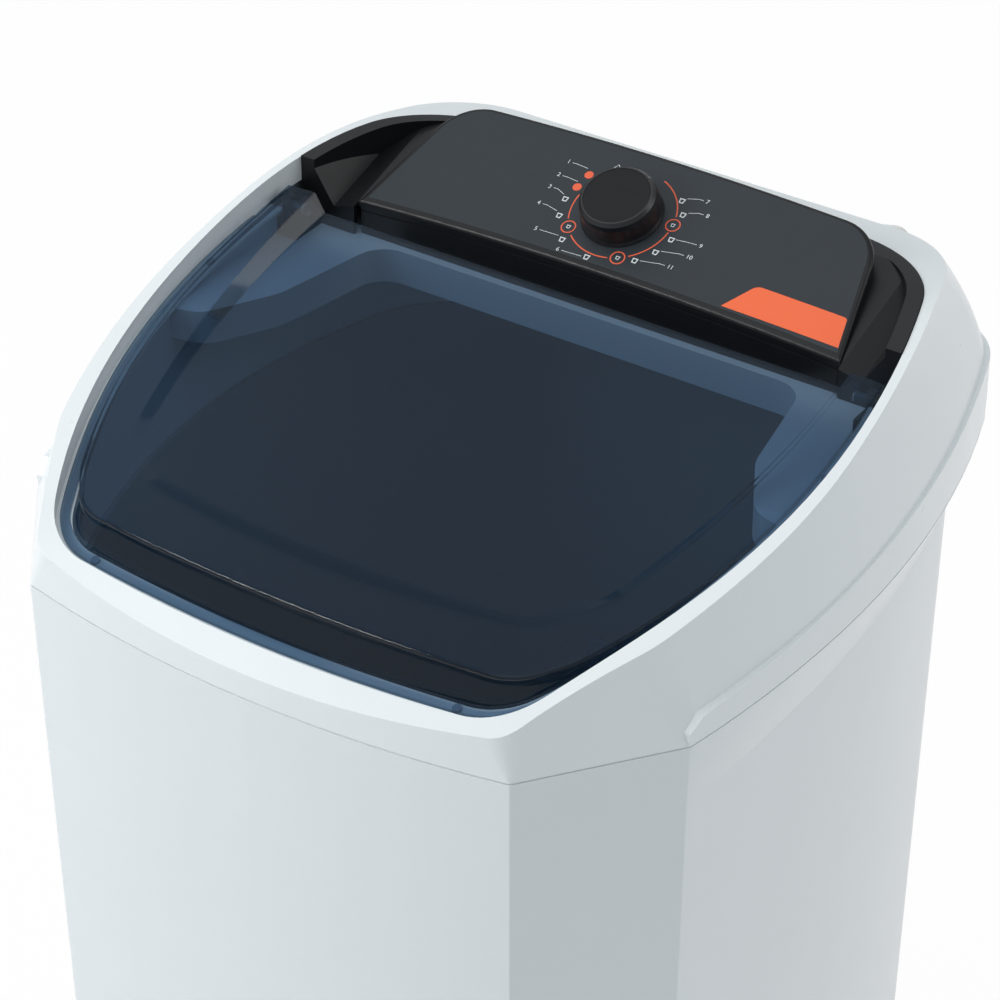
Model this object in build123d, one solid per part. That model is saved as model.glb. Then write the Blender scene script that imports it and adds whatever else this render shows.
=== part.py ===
from build123d import *
import os
from dataclasses import dataclass
from math import asin, cos, hypot, radians, sin, sqrt, tan

# Semi-automatic washing machine, millimetres. Front faces -Y, +X is its right side, floor at Z = 0.

os.makedirs("parts", exist_ok=True)

# Walls, fits and gaps
WALL = 3.0
THIN_WALL = 2.5
SEAT_GAP = 0.6
SLIDE_GAP = 0.4
RUN_GAP = 0.05
HOLE_GAP = 0.15

# Main heights
CABINET_BOTTOM = 20.0
SEAM_Z = 782.0
FLARE_H = 50.0
DRAFT = 0.86

# Top cover
SEAM_GROOVE = 1.2
BAND_AT_CENTRE = 33.0
BAND_SLOPE = 0.07
LIP_DEPTH = 20.0
COVER_FLANGE_T = 3.0
COVER_FLANGE_W = 14.0
TONGUE_INSET = 7.6
TONGUE_H = 6.0
TONGUE_TAB_H = 18.0
COVER_SCREW_X = 160.0
COVER_SCREW_Y = 306.8
COVER_SCREW_DROP = 11.0
LEDGE_SEAT_W = 12.0
LEDGE_SEAT_T = 2.5

# Deck round the tub mouth
DECK_H = 88.0
DECK_EDGE = ((322, -63), (232, -42), (203, 10), (184, 110))
DECK_EDGE_R = (25, 40, 25)
DECK_SKIRT = 28.0
COLLAR_INSET = 3.6
MOUNT_FLANGE = 9.0

# Tub
TUB_TOP = 762.0
TUB_BEND = 385.0
TUB_FLOOR = 338.0
TUB_Y = -25.0
TUB_INSET = 8.0
TUB_TAPER = 36.0
TUB_ROUND = 18.0
TUB_BOSS_T = 4.0
TUB_BOSS_R = 62.0

# Control console
PANEL_TILT = 24.0
PANEL_FRONT_Y = 121.0
PANEL_FRONT_H = 124.0
PANEL_CROWN_R = 3300.0
PANEL_WALL = 4.0
PLATEAU_Y = 117.0
PLATEAU_REAR_Y = 222.0
PLATEAU_FRONT_X = 209.0
PLATEAU_REAR_X = 182.0
PLATEAU_CORNER_R = 38.0
PLATEAU_EDGE_R = 3.5
LIP_GROOVE_DROP = 6.0
LIP_GROOVE_W = 1.6
LIP_GROOVE_DEPTH = 0.9
VALLEY = ((0, 112), (209, 112), (227.7, 106.7), (300, 219.8))
VALLEY_SLOPE = 0.3
CHEEK_Y = 112.0
ARM_H = 98.0
ARM_T = 4.0
ARM_FRONT_Y = 80.0
ARM_X = 240.0
STRIP_W = 12.0
STRIP_LIFT = 1.0
FASCIA_T = 1.6
FASCIA_MARGIN = 3.0
BADGE = ((106, 2.5), (122, 28), (195, 28), (201, 2.5))
BADGE_T = 0.6

# Timer and knob
KNOB_U = -4.0
KNOB_V = 49.5
KNOB_LIFT = 0.8
KNOB_H = 21.0
KNOB_BASE_R = 31.4
KNOB_TOP_R = 29.0
KNOB_WALL = 2.6
KNOB_HUB_R = 8.0
CAP_R = 25.6
CAP_T = 1.2
TIMER_SHAFT_R = 3.0
TIMER_R = 29.0
TIMER_H = 38.0
TIMER_SOCKET = 10.0
TIMER_SCREW_U = 20.0

# Lid
LID_T = 3.0
LID_H = 106.6
LID_SLOPE = 0.217
LID_CROWN = 5.5
LID_CROWN_R = 5200.0
LID_FLANGE_T = 2.5
LID_FLANGE_INSET = 3.5
LID_REST = 1.5
LID_REAR_Y = 92.0
LID_EDGE_R = 3.0
LID_SWING_X = 260.4
LID_SWING_Y = 58.0
SKIRT_FOOT_H = 25.0
SKIRT_TOP_H = 48.0
RELIEF_H = 96.6
RELIEF_SLOPE = 0.169
RELIEF_OVER = 2.0
HINGE_Y = 88.0
HINGE_H = 112.0
HINGE_R = 6.0
PIN_R = 3.0
PIN_HEAD_R = 4.2
PIN_HEAD_T = 2.0
EAR_X = 248.0
EAR_W = 5.5
LUG_X = 238.3
LUG_W = 8.7
BUMPER_R = 3.2

# Drive
SHAFT_R = 8.0
SHAFT_FLAT = 6.5
SHAFT_FLAT_H = 12.0
SHAFT_BOTTOM = 66.0
BEARING_R = 19.0
BEARING_H = 12.0
HOUSING_R = 27.0
HOUSING_BOTTOM = 137.0
HOUSING_FLANGE_R = 58.0
HOUSING_FLANGE_T = 8.0
SEAL_DEPTH = 8.0
PULLEY_Z = 84.0
PULLEY_W = 16.0
PULLEY_RIM = 4.0
BIG_PITCH_R = 105.0
SMALL_PITCH_R = 21.0
PULLEY_HUB_R = 20.0
NUT_R = 8.0
NUT_H = 7.0
BELT_W = 9.0
BELT_OVER = 3.0
BELT_UNDER = 4.0
BELT_DRAW = 2.0
BELT_GAP = 0.4
AGITATOR_R = 158.0
AGITATOR_GAP = 5.0
HUB_R = 24.0
HUB_H = 62.0
HUB_FLOOR = 34.0
HUB_WELL_R = 13.0

# Motor
MOTOR_Y = 175.0
MOTOR_R = 62.0
END_CAP_H = 12.0
STATOR_H = 72.0
STATOR_BORE_R = 36.0
AIR_GAP = 0.5
MOTOR_SHAFT_R = 6.0
BRACKET_Z = 112.0
BRACKET_T = 3.0
BUSH_H = 6.0
BUSH_R = 8.0
POST_R = 9.0
CAPACITOR_AT = (-150.0, 20.0)
CAPACITOR_R = 20.0
CAPACITOR_H = 72.0

# Base
FOOT_R = 21.0
FOOT_STEM_R = 7.0
FOOT_STEM_H = 22.0
FOOT_SPOTS = {
    "foot_front_left": (-178.0, -215.0),
    "foot_front_right": (178.0, -215.0),
    "foot_rear_left": (-190.0, 205.0),
    "foot_rear_right": (190.0, 205.0),
}
FRAME_BOTTOM = 23.0
FRAME_H = 40.0
RAIL_X = 150.0
RAIL_W = 30.0
RAIL_H = 12.0

# Rear access panel
HATCH_W = 190.0
HATCH_LOW = 95.0
HATCH_HIGH = 395.0
HATCH_R = 18.0
HATCH_LAP = 14.0
HATCH_T = 2.0
VENT_W = 110.0
VENT_H = 5.0
VENT_PITCH = 14.0
VENT_ROWS = 9

# Water and power
INLET_X = 150.0
INLET_H = 104.0
INLET_R = 13.2
INLET_BORE_R = 8.0
INLET_SEAT_Y = 294.0
REAR_END_Y = 309.0
INLET_PIPE_R = 7.5
INLET_DROP_Y = 150.0
INLET_BEND_R = 15.0
DRAIN_AT = (135.0, 105.0)
DRAIN_BORE_R = 9.5
DRAIN_STUB_R = 12.2
DRAIN_PIPE_R = 15.5
DRAIN_BEND_R = 45.0
SPIGOT_Z = 150.0
SPIGOT_R = 12.0
SPIGOT_FLANGE_R = 19.0
GLAND_AT = (-130.0, 170.0)
GLAND_BORE_R = 3.8
GLAND_SEAT_R = 8.0
GLAND_FLANGE_R = 12.0
LOOM_R = 4.0
LOOM_Y = 272.0
LOOM_X = -120.0
TERMINAL_Z = 185.0
TERMINAL_H = 20.0

# Fasteners
SCREW_R = 2.0
SCREW_HEAD_R = 4.5
SCREW_HEAD_H = 2.4

# Lint filter
FILTER_W = 96.0
FILTER_H = 110.0
FILTER_T = 9.0
FILTER_LOW_Z = 392.0
FILTER_RAIL = 5.0
FILTER_RIM = 9.0
MESH_PITCH = 8.0
MESH_GAP = 5.0


@dataclass
class PlanShape:
    """Outline seen from above: bowed front, chamfered corners, bulged sides, straight rear."""

    front: float
    corner: tuple
    edge: tuple
    apex: tuple
    tail: tuple
    rear: float
    corner_r: float
    edge_r: float

    def inset(self, gap):
        """The same outline, moved inwards everywhere by gap."""
        corner, edge, apex, tail = (Vector(*p) for p in (self.corner, self.edge, self.apex, self.tail))
        bow = corner.Y - self.front
        front_r = (corner.X**2 + bow**2) / (2 * bow)
        front_in = Vector(-corner.X / front_r, (front_r - bow) / front_r)
        along = (edge - corner).normalized()
        chamfer_in = Vector(-along.Y, along.X)
        side_in = (arc_centre(apex, edge) - edge).normalized()
        tail_in = (arc_centre(apex, tail) - tail).normalized()
        corner += (front_in + chamfer_in) * (gap / (1 + front_in.dot(chamfer_in)))
        edge += (chamfer_in + side_in) * (gap / (1 + chamfer_in.dot(side_in)))
        tail += tail_in * gap
        return PlanShape(
            self.front + gap,
            (corner.X, corner.Y),
            (edge.X, edge.Y),
            (apex.X - gap, apex.Y),
            (tail.X, tail.Y),
            self.rear - gap,
            max(self.corner_r - gap, 1),
            max(self.edge_r - gap, 1),
        )

    def face(self, z=0.0):
        """A flat face of this outline at height z."""
        apex, tail = Vector(*self.apex), Vector(*self.tail)
        heading = (arc_centre(apex, tail) - tail).normalized()
        rear_r = (self.rear - tail.Y) / (1 + heading.Y)
        rear_end = (tail.X + rear_r * heading.X, self.rear)
        half = [
            TangentArc((0, self.front), self.corner, tangent=(1, 0)),
            Line(self.corner, self.edge),
            TangentArc(self.apex, self.edge, tangent=(0, -1)),
            TangentArc(self.apex, self.tail, tangent=(0, 1)),
            TangentArc(self.tail, rear_end, tangent=(heading.Y, -heading.X)),
            Line(rear_end, (0, self.rear)),
        ]
        face = Face(Wire(half + [part.mirror(Plane.YZ) for part in half]))
        for point, radius in ((self.corner, self.corner_r), (self.edge, self.edge_r)):
            picks = [nearest_vertex(face, side * point[0], point[1]) for side in (-1, 1)]
            face = face.fillet_2d(radius, picks)
        return Pos(0, 0, z) * face

    def prism(self, low, high):
        """A straight-sided solid of this outline."""
        return extrude(self.face(low), amount=high - low, dir=(0, 0, 1))

    def band(self, low, high, outer, inner):
        """A straight-sided ring between two insets of this outline."""
        return self.inset(outer).prism(low, high) - self.inset(inner).prism(low - 1, high + 1)


def arc_centre(apex, end):
    """Centre of the side arc that is widest at apex and passes through end."""
    dx = apex.X - end.X
    dy = end.Y - apex.Y
    return Vector(apex.X - (dx**2 + dy**2) / (2 * dx), apex.Y)


def nearest_vertex(face, x, y):
    return min(face.vertices(), key=lambda v: hypot(v.X - x, v.Y - y))


# Plan outlines, from the cabinet up to the mouth and the lid
SEAM = PlanShape(-310, (200, -288), (275.5, -190), (295, 5), (251, 271), 310, 3, 6)
BODY = PlanShape(-309, (199.5, -287.5), (274.5, -190), (280, -20), (249, 218), 300, 2, 3)
COVER_LEVELS = (
    (0, PlanShape(-309.8, (200, -288), (275.5, -190), (293, 5), (250, 270), 308, 3, 6)),
    (60, PlanShape(-304, (190, -284), (252, -190), (289, 5), (247, 266), 305, 40, 120)),
    (105, PlanShape(-300, (185, -280), (238, -190), (279.5, 5), (238, 248), 290, 40, 120)),
    (155, PlanShape(-296, (180, -276), (228, -190), (275, 5), (236, 205), 258, 40, 120)),
)
MOUTH = PlanShape(-290, (187, -279), (205, -249), (269.7, 3), (240, 175), 243, 60, 60)
SKIRT_FOOT = PlanShape(-285, (184, -273.5), (207, -236), (262, 5), (252, 130), 200, 45, 60)
SKIRT_TOP = PlanShape(-266, (180, -254.5), (207, -220), (260.5, 5), (252, 130), 200, 45, 60)
RELIEF_LOW = PlanShape(-215, (158, -205), (190, -165), (222, 60), (219, 130), 170, 40, 60)
RELIEF_HIGH = PlanShape(-241, (172, -231), (206, -185), (235, 60), (232, 130), 180, 45, 70)

# Side profiles along Y, as heights above the seam
RIM_PROFILE = (
    (-335, 2), (-310, 18), (-270, 42), (-170, 76), (3, 115.5), (182, 145.5), (262, 137), (335, 132),
)
SEAT_PROFILE = (
    (-335, 1), (-310, 16), (-285, 32), (-240, 46), (-170, 65), (3, 102.5), (90, 119), (335, 160),
)

# Places worked out from the sizes above
DECK_TOP = SEAM_Z + DECK_H
ARM_TOP = SEAM_Z + ARM_H
HINGE_Z = SEAM_Z + HINGE_H
INLET_Z = SEAM_Z + INLET_H
SIDE = Plane(origin=(0, 0, 0), x_dir=(0, 1, 0), z_dir=(1, 0, 0))
TILT_SIN = sin(radians(PANEL_TILT))
TILT_COS = cos(radians(PANEL_TILT))
PANEL = Plane(
    origin=(0, PANEL_FRONT_Y, SEAM_Z + PANEL_FRONT_H), x_dir=(1, 0, 0), z_dir=(0, -TILT_SIN, TILT_COS))
LEDGE_SEAT_DROP = LID_FLANGE_T + LID_REST
WALL_LEAN = TUB_TAPER / (TUB_TOP - TUB_BEND)
TIMER_TOP = -PANEL_WALL - 2 * HOLE_GAP
KNOB_PLACE = PANEL * Pos(KNOB_U, KNOB_V, KNOB_LIFT)
AGITATOR_BASE = TUB_FLOOR + AGITATOR_GAP
HOUSING_TOP = TUB_FLOOR - WALL - TUB_BOSS_T
PULLEY_LOW = PULLEY_Z - PULLEY_W / 2
PULLEY_HIGH = PULLEY_Z + PULLEY_W / 2
PLATE_TOP = BRACKET_Z + BRACKET_T
MOTOR_TOP = PLATE_TOP + 2 * END_CAP_H + STATOR_H
POST_SPOTS = [(x, y) for x in (-82.0, 82.0) for y in (MOTOR_Y - 70, MOTOR_Y + 66)]


def block(x0, x1, y0, y1, z0, z1):
    """A box by its two corners."""
    return Pos((x0 + x1) / 2, (y0 + y1) / 2, (z0 + z1) / 2) * Box(x1 - x0, y1 - y0, z1 - z0)


def rod(x, y, z0, z1, radius):
    """An upright cylinder."""
    return Pos(x, y, (z0 + z1) / 2) * Cylinder(radius, z1 - z0)


def tube(x, y, z0, z1, outer, inner):
    return rod(x, y, z0, z1, outer) - rod(x, y, z0 - 1, z1 + 1, inner)


def rod_x(x0, x1, y, z, radius):
    return Pos((x0 + x1) / 2, y, z) * Rot(0, 90, 0) * Cylinder(radius, x1 - x0)


def rod_y(x, y0, y1, z, radius):
    return Pos(x, (y0 + y1) / 2, z) * Rot(90, 0, 0) * Cylinder(radius, y1 - y0)


def tube_y(x, y0, y1, z, outer, inner):
    return rod_y(x, y0, y1, z, outer) - rod_y(x, y0 - 1, y1 + 1, z, inner)


def turned(points):
    """A solid of revolution about Z from (radius, height) points."""
    return revolve(Plane.XZ * Polygon(*points, align=None), axis=Axis.Z)


def mirrored(solid):
    """The solid and its twin on the other side of the machine."""
    return [solid, solid.mirror(Plane.YZ)]


def shifted_path(points, gap):
    """An open polyline moved to its right by gap."""
    points = [Vector(*p) for p in points]
    runs = [(b - a).normalized() for a, b in zip(points, points[1:])]
    normals = [Vector(run.Y, -run.X) for run in runs]
    moved = [points[0] + normals[0] * gap]
    for point, before, after in zip(points[1:-1], normals, normals[1:]):
        moved.append(point + (before + after) * (gap / (1 + before.dot(after))))
    moved.append(points[-1] + normals[-1] * gap)
    return [(p.X, p.Y) for p in moved]


def both_ways(points):
    """A path on the right side, carried on through its mirror image."""
    return list(points) + [(-x, y) for x, y in reversed(points)]


def below_profile(points, lift=0.0):
    """Everything under a side profile that runs straight across the machine."""
    path = [(y, SEAM_Z + z + lift) for y, z in points]
    (start_y, start_z), (end_y, end_z) = path[0], path[-1]
    base_z = SEAM_Z - FLARE_H
    outline = Wire([
        Spline(*path),
        Line((end_y, end_z), (end_y, base_z)),
        Line((end_y, base_z), (start_y, base_z)),
        Line((start_y, base_z), (start_y, start_z)),
    ])
    return extrude(SIDE * Face(outline), amount=400, both=True)


def behind(y, low=0.0):
    """Everything behind a given depth and above a given height."""
    return block(-400, 400, y, 400, low, 1100)


def facing_rear(x, y, z):
    """A place whose local Z points backwards."""
    return Plane(origin=(x, y, z), x_dir=(-1, 0, 0), z_dir=(0, 1, 0))


def facing_down(x, y, z):
    return Plane(origin=(x, y, z), x_dir=(1, 0, 0), z_dir=(0, 0, -1))


def facing_up(x, y, z):
    return Plane(origin=(x, y, z), x_dir=(1, 0, 0), z_dir=(0, 0, 1))


def screw(place, shank, shank_r=SCREW_R, head_r=SCREW_HEAD_R, head_h=SCREW_HEAD_H):
    """A cross-slot pan-head screw: head above the place, shank below it."""
    head = Pos(0, 0, head_h / 2) * Cylinder(head_r, head_h)
    head = fillet(head.edges().sort_by(Axis.Z)[-1], head_h * 0.4)
    slot = Pos(0, 0, head_h) * Box(head_r * 1.2, head_r * 0.25, head_h * 0.6)
    body = head + Pos(0, 0, -shank / 2) * Cylinder(shank_r, shank)
    return place * (body - slot - Rot(0, 0, 90) * slot)


def screw_hole(place, depth, shank_r=SCREW_R):
    return place * (Pos(0, 0, 1 - depth / 2) * Cylinder(shank_r + HOLE_GAP, depth + 2))


# Cabinet


def body_inset(z):
    """How far the drafted body has drawn in at height z."""
    return (SEAM_Z - FLARE_H - z) * tan(radians(DRAFT))


def body_rear_y(z):
    return BODY.rear - body_inset(z)


def cabinet_solid(inset):
    """The drafted body and the flare above it, moved inwards by inset."""
    low = BODY.inset(body_inset(CABINET_BOTTOM) + inset).face(CABINET_BOTTOM)
    mid = BODY.inset(inset).face(SEAM_Z - FLARE_H)
    top = SEAM.inset(inset).face(SEAM_Z)
    return loft([low, mid], ruled=True) + loft([mid, top], ruled=True)


def rear_wall_place(z):
    """Plane of the drafted rear wall at height z, its local X to the left and local Y up."""
    normal = (0, cos(radians(DRAFT)), -sin(radians(DRAFT)))
    return Plane(origin=(0, body_rear_y(z), z), x_dir=(-1, 0, 0), z_dir=normal)


def hatch_plate(grow, thickness):
    """A rounded plate over the hatch, wider than the opening by grow on each side."""
    width, height = HATCH_W + 2 * grow, HATCH_HIGH - HATCH_LOW + 2 * grow
    return extrude(RectangleRounded(width, height, HATCH_R + grow), amount=thickness)


HATCH_PLACE = rear_wall_place((HATCH_LOW + HATCH_HIGH) / 2)


def hatch_screw_places():
    half_w = (HATCH_W + HATCH_LAP) / 2
    half_h = (HATCH_HIGH - HATCH_LOW + HATCH_LAP) / 2
    return [
        HATCH_PLACE * Pos(x * half_w, y * half_h, HATCH_T)
        for x in (-1, 1)
        for y in (-0.85, 0, 0.85)
    ]


def base_screw_places():
    return [rear_wall_place(FRAME_BOTTOM + FRAME_H / 2) * Pos(x, 0, 0) for x in (-120, 0, 120)]


def cover_screw_places():
    return [facing_rear(side * COVER_SCREW_X, COVER_SCREW_Y, SEAM_Z - COVER_SCREW_DROP) for side in (-1, 1)]


def cabinet():
    shell = cabinet_solid(0) - cabinet_solid(WALL)
    shell += SEAM.band(SEAM_Z - 5, SEAM_Z, WALL - 0.5, TONGUE_INSET - SEAT_GAP)
    for place in cover_screw_places():
        shell += place * Pos(0, 0, -2) * Cylinder(SCREW_HEAD_R + 2.5, 4)
        shell -= place * Pos(0, 0, 5) * Cylinder(SCREW_HEAD_R + 1.5, 10)
        shell -= screw_hole(place, 12)
    cuts = [screw_hole(place, 14) for place in hatch_screw_places() + base_screw_places()]
    cuts.append(HATCH_PLACE * Pos(0, 0, -10) * hatch_plate(0, 20))
    cuts.append(rod_y(DRAIN_AT[0], 250, 320, SPIGOT_Z, SPIGOT_R + SEAT_GAP))
    cuts.append(rod_y(GLAND_AT[0], 250, 320, GLAND_AT[1], GLAND_SEAT_R + HOLE_GAP))
    return shell - cuts


def rear_access_panel():
    vent = extrude(SlotOverall(VENT_W, VENT_H), amount=10, both=True)
    rows = GridLocations(1, VENT_PITCH, 1, VENT_ROWS).locations
    plate = hatch_plate(HATCH_LAP, HATCH_T) - [row * vent for row in rows]
    return HATCH_PLACE * plate - [screw_hole(place, 14) for place in hatch_screw_places()]


def cabinet_screws():
    """The identical screws of the rear panel, the base frame and the top cover."""
    places = hatch_screw_places() + base_screw_places() + cover_screw_places()
    return Compound([screw(place, 9) for place in places])


# Base frame and feet


def base_frame():
    drop = body_inset(FRAME_BOTTOM) + WALL + SLIDE_GAP
    frame = BODY.band(FRAME_BOTTOM, FRAME_BOTTOM + FRAME_H, drop, drop + WALL)
    inside = BODY.inset(drop + 1).prism(FRAME_BOTTOM, FRAME_BOTTOM + RAIL_H)
    for x in (-RAIL_X, RAIL_X):
        frame += inside & block(x - RAIL_W / 2, x + RAIL_W / 2, -300, 300, 0, FRAME_BOTTOM + RAIL_H)
    for y in sorted({spot[1] for spot in POST_SPOTS}):
        frame += inside & block(-RAIL_X, RAIL_X, y - RAIL_W / 2, y + RAIL_W / 2, 0, FRAME_BOTTOM + RAIL_H)
    for x, y in POST_SPOTS:
        frame += rod(x, y, FRAME_BOTTOM, BRACKET_Z - BUSH_H, POST_R)
        frame -= rod(x, y, BRACKET_Z - BUSH_H - 20, BRACKET_Z, SCREW_R + HOLE_GAP)
    for x, y in FOOT_SPOTS.values():
        frame += rod(x, y, FRAME_BOTTOM, FRAME_BOTTOM + 26, FOOT_R + 4)
        side_x = RAIL_X if x > 0 else -RAIL_X
        frame += inside & block(min(x, side_x), max(x, side_x), y - 12, y + 12, 0, FRAME_BOTTOM + RAIL_H)
        frame -= rod(x, y, 0, FRAME_BOTTOM + FOOT_STEM_H, FOOT_STEM_R)
    for place in base_screw_places():
        frame -= screw_hole(place, 14)
    return frame


def foot(spot):
    """A rubber foot with a stem pressed up into the base frame."""
    x, y = spot
    pad = rod(x, y, 0, FRAME_BOTTOM, FOOT_R)
    pad = chamfer(pad.edges().group_by(Axis.Z)[0], 2.5)
    pad -= tube(x, y, 9, 12, FOOT_R + 1, FOOT_R - 2)
    return pad + rod(x, y, FRAME_BOTTOM, FRAME_BOTTOM + FOOT_STEM_H, FOOT_STEM_R)


# Top cover


def cover_solid(inset):
    return loft([shape.inset(inset).face(SEAM_Z + z) for z, shape in COVER_LEVELS])


def side_band():
    """The flush band along the sides and rear, cut off along its rising upper edge."""
    start_y = SEAM.edge[1]
    start_z, end_z = (SEAM_Z + BAND_AT_CENTRE + BAND_SLOPE * y for y in (start_y, 400))
    low = SEAM_Z - 1
    keep = SIDE * Polygon(
        (start_y, low), (400, low), (400, end_z), (start_y + 12, start_z), (start_y, start_z - 9), align=None)
    return SEAM.prism(SEAM_Z, SEAM_Z + 80) & extrude(keep, amount=400, both=True)


def top_cover():
    outer = (cover_solid(0) & below_profile(RIM_PROFILE)) + side_band()
    cover = outer - (cover_solid(WALL) & below_profile(RIM_PROFILE, -WALL))
    cover -= MOUTH.prism(SEAM_Z + 1, SEAM_Z + 200)
    lip = MOUTH.band(SEAM_Z, SEAM_Z + 160, -THIN_WALL, 0) & below_profile(RIM_PROFILE, -1)
    cover += lip - below_profile(RIM_PROFILE, -LIP_DEPTH)
    seat = MOUTH.band(SEAM_Z, SEAM_Z + 160, -1, LEDGE_SEAT_W) & below_profile(SEAT_PROFILE, -LEDGE_SEAT_DROP)
    seat -= below_profile(SEAT_PROFILE, -LEDGE_SEAT_DROP - LEDGE_SEAT_T)
    cover += seat - behind(ARM_FRONT_Y - SEAT_GAP)
    cover -= SEAM.band(SEAM_Z - 1, SEAM_Z + SEAM_GROOVE, -2, SEAM_GROOVE)
    flange_low = SEAM_Z + SEAM_GROOVE
    cover += SEAM.band(flange_low, flange_low + COVER_FLANGE_T, WALL - 0.6, COVER_FLANGE_W)
    tongue_in = TONGUE_INSET + THIN_WALL
    cover += SEAM.band(SEAM_Z - TONGUE_H, flange_low + 1, TONGUE_INSET, tongue_in)
    tabs = SEAM.band(SEAM_Z - TONGUE_TAB_H, SEAM_Z, TONGUE_INSET, tongue_in)
    for place in cover_screw_places():
        x = place.origin.X
        cover += tabs & block(x - 15, x + 15, 200, 320, 0, SEAM_Z)
        cover -= screw_hole(place, 12)
    boss_r = INLET_R + 6
    cover += rod_y(INLET_X, INLET_SEAT_Y - 20, INLET_SEAT_Y, INLET_Z, boss_r)
    cover -= rod_y(INLET_X, INLET_SEAT_Y, 330, INLET_Z, boss_r + SEAT_GAP)
    return cover - rod_y(INLET_X, INLET_SEAT_Y - 30, 330, INLET_Z, INLET_R + HOLE_GAP)


# Light collar with the shelves at its rear corners


def shelf_zone(low, high, gap=0.0):
    """The shelf area behind the deck edge, its edge moved back by gap."""
    path = both_ways(shifted_path(DECK_EDGE, gap))
    outer_r, mid_r, rear_r = (DECK_EDGE_R[0] - gap, DECK_EDGE_R[1] - gap, DECK_EDGE_R[2] + gap)
    edge = FilletPolyline(*path, radius=[outer_r, mid_r, rear_r, rear_r, mid_r, outer_r])
    (start, end) = path[0], path[-1]
    close = Polyline(end, (end[0], 330), (start[0], 330), start)
    face = Face(Wire(edge.edges() + close.edges()))
    return extrude(Pos(0, 0, low) * face, amount=high - low, dir=(0, 0, 1))


def tub_screw_places():
    """Spots along the middle of the flange between collar and tub."""
    out = MOUNT_FLANGE / 2 + 0.5
    bow = MOUTH.corner[1] - MOUTH.front
    front_r = (MOUTH.corner[0] ** 2 + bow**2) / (2 * bow)
    front_x = 110
    front_y = MOUTH.front + front_r - sqrt(front_r**2 - front_x**2) - out
    spots = [(MOUTH.apex[0] + out, MOUTH.apex[1]), (front_x, front_y), (120, MOUTH.rear + out)]
    return [facing_down(side * x, y, TUB_TOP - WALL) for x, y in spots for side in (-1, 1)]


def tub_collar():
    wall_in = COLLAR_INSET + WALL
    under_seat = below_profile(SEAT_PROFILE, -LEDGE_SEAT_DROP - LEDGE_SEAT_T - SLIDE_GAP)
    wall = MOUTH.band(TUB_TOP, SEAM_Z + 160, COLLAR_INSET, wall_in) & under_seat
    wall -= behind(ARM_FRONT_Y - SEAT_GAP, DECK_TOP)
    space = MOUTH.inset(wall_in - 1)
    shelf = space.prism(DECK_TOP - WALL, DECK_TOP) & shelf_zone(0, 1000) & under_seat
    skirt = space.prism(DECK_TOP - DECK_SKIRT, DECK_TOP) & (shelf_zone(0, 1000) - shelf_zone(-1, 1001, WALL))
    brim_low = SEAM_Z + SEAM_GROOVE + COVER_FLANGE_T
    brim = SEAM.inset(WALL + 7).prism(brim_low, brim_low + WALL)
    brim -= space.prism(brim_low - 1, brim_low + WALL + 1)
    foot_ring = MOUTH.band(TUB_TOP, TUB_TOP + WALL, -MOUNT_FLANGE, wall_in - 1)
    collar = wall + shelf + (skirt & under_seat) + brim + foot_ring
    collar -= rod(INLET_X, INLET_DROP_Y, DECK_TOP - 10, DECK_TOP + 10, INLET_PIPE_R + SEAT_GAP)
    collar -= rod(LOOM_X, LOOM_Y, brim_low - 10, brim_low + 10, LOOM_R + SEAT_GAP)
    holes = [screw_hole(place, 10) for place in tub_screw_places()]
    return collar - holes - [screw_hole(place, 20) for place in console_screw_places()]


def tub_screws():
    return Compound([screw(place, 2 * WALL) for place in tub_screw_places()])


# Wash tub


def tub_solid(inset, floor):
    top = MOUTH.inset(TUB_INSET + inset).face(TUB_TOP)
    bend = MOUTH.inset(TUB_INSET + TUB_TAPER + inset).face(TUB_BEND)
    low = MOUTH.inset(TUB_INSET + TUB_TAPER + TUB_ROUND + inset).face(floor)
    return loft([top, bend], ruled=True) + loft([bend, low], ruled=True)


def housing_screw_places():
    ring = PolarLocations((TUB_BOSS_R + BEARING_R) / 2 + 4, 6)
    low = HOUSING_TOP - HOUSING_FLANGE_T
    return [facing_down(spot.position.X, TUB_Y + spot.position.Y, low) for spot in ring.locations]


def wash_tub():
    tub = tub_solid(0, TUB_FLOOR - WALL) - tub_solid(WALL, TUB_FLOOR)
    tub += MOUTH.band(TUB_TOP - WALL, TUB_TOP, -MOUNT_FLANGE, TUB_INSET + 1)
    tub += rod(0, TUB_Y, HOUSING_TOP, TUB_FLOOR, TUB_BOSS_R)
    tub += rod(*DRAIN_AT, TUB_FLOOR - WALL - 22, TUB_FLOOR, DRAIN_STUB_R)
    tub -= rod(0, TUB_Y, HOUSING_TOP - 5, TUB_FLOOR + 5, BEARING_R)
    tub -= rod(*DRAIN_AT, 200, TUB_FLOOR + 5, DRAIN_BORE_R)
    holes = [screw_hole(place, HOUSING_FLANGE_T + TUB_BOSS_T + 1) for place in housing_screw_places()]
    return tub - holes - [screw_hole(place, 10) for place in tub_screw_places()]


def drain_strainer():
    """A slotted disc over the drain hole."""
    disc = rod(*DRAIN_AT, TUB_FLOOR, TUB_FLOOR + 2, DRAIN_BORE_R + 10)
    disc = chamfer(disc.edges().sort_by(Axis.Z)[-1], 0.8)
    for spot in PolarLocations(DRAIN_BORE_R - 4, 8).locations:
        disc -= rod(DRAIN_AT[0] + spot.position.X, DRAIN_AT[1] + spot.position.Y, 0, 999, 1.6)
    return disc


# Console


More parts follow.
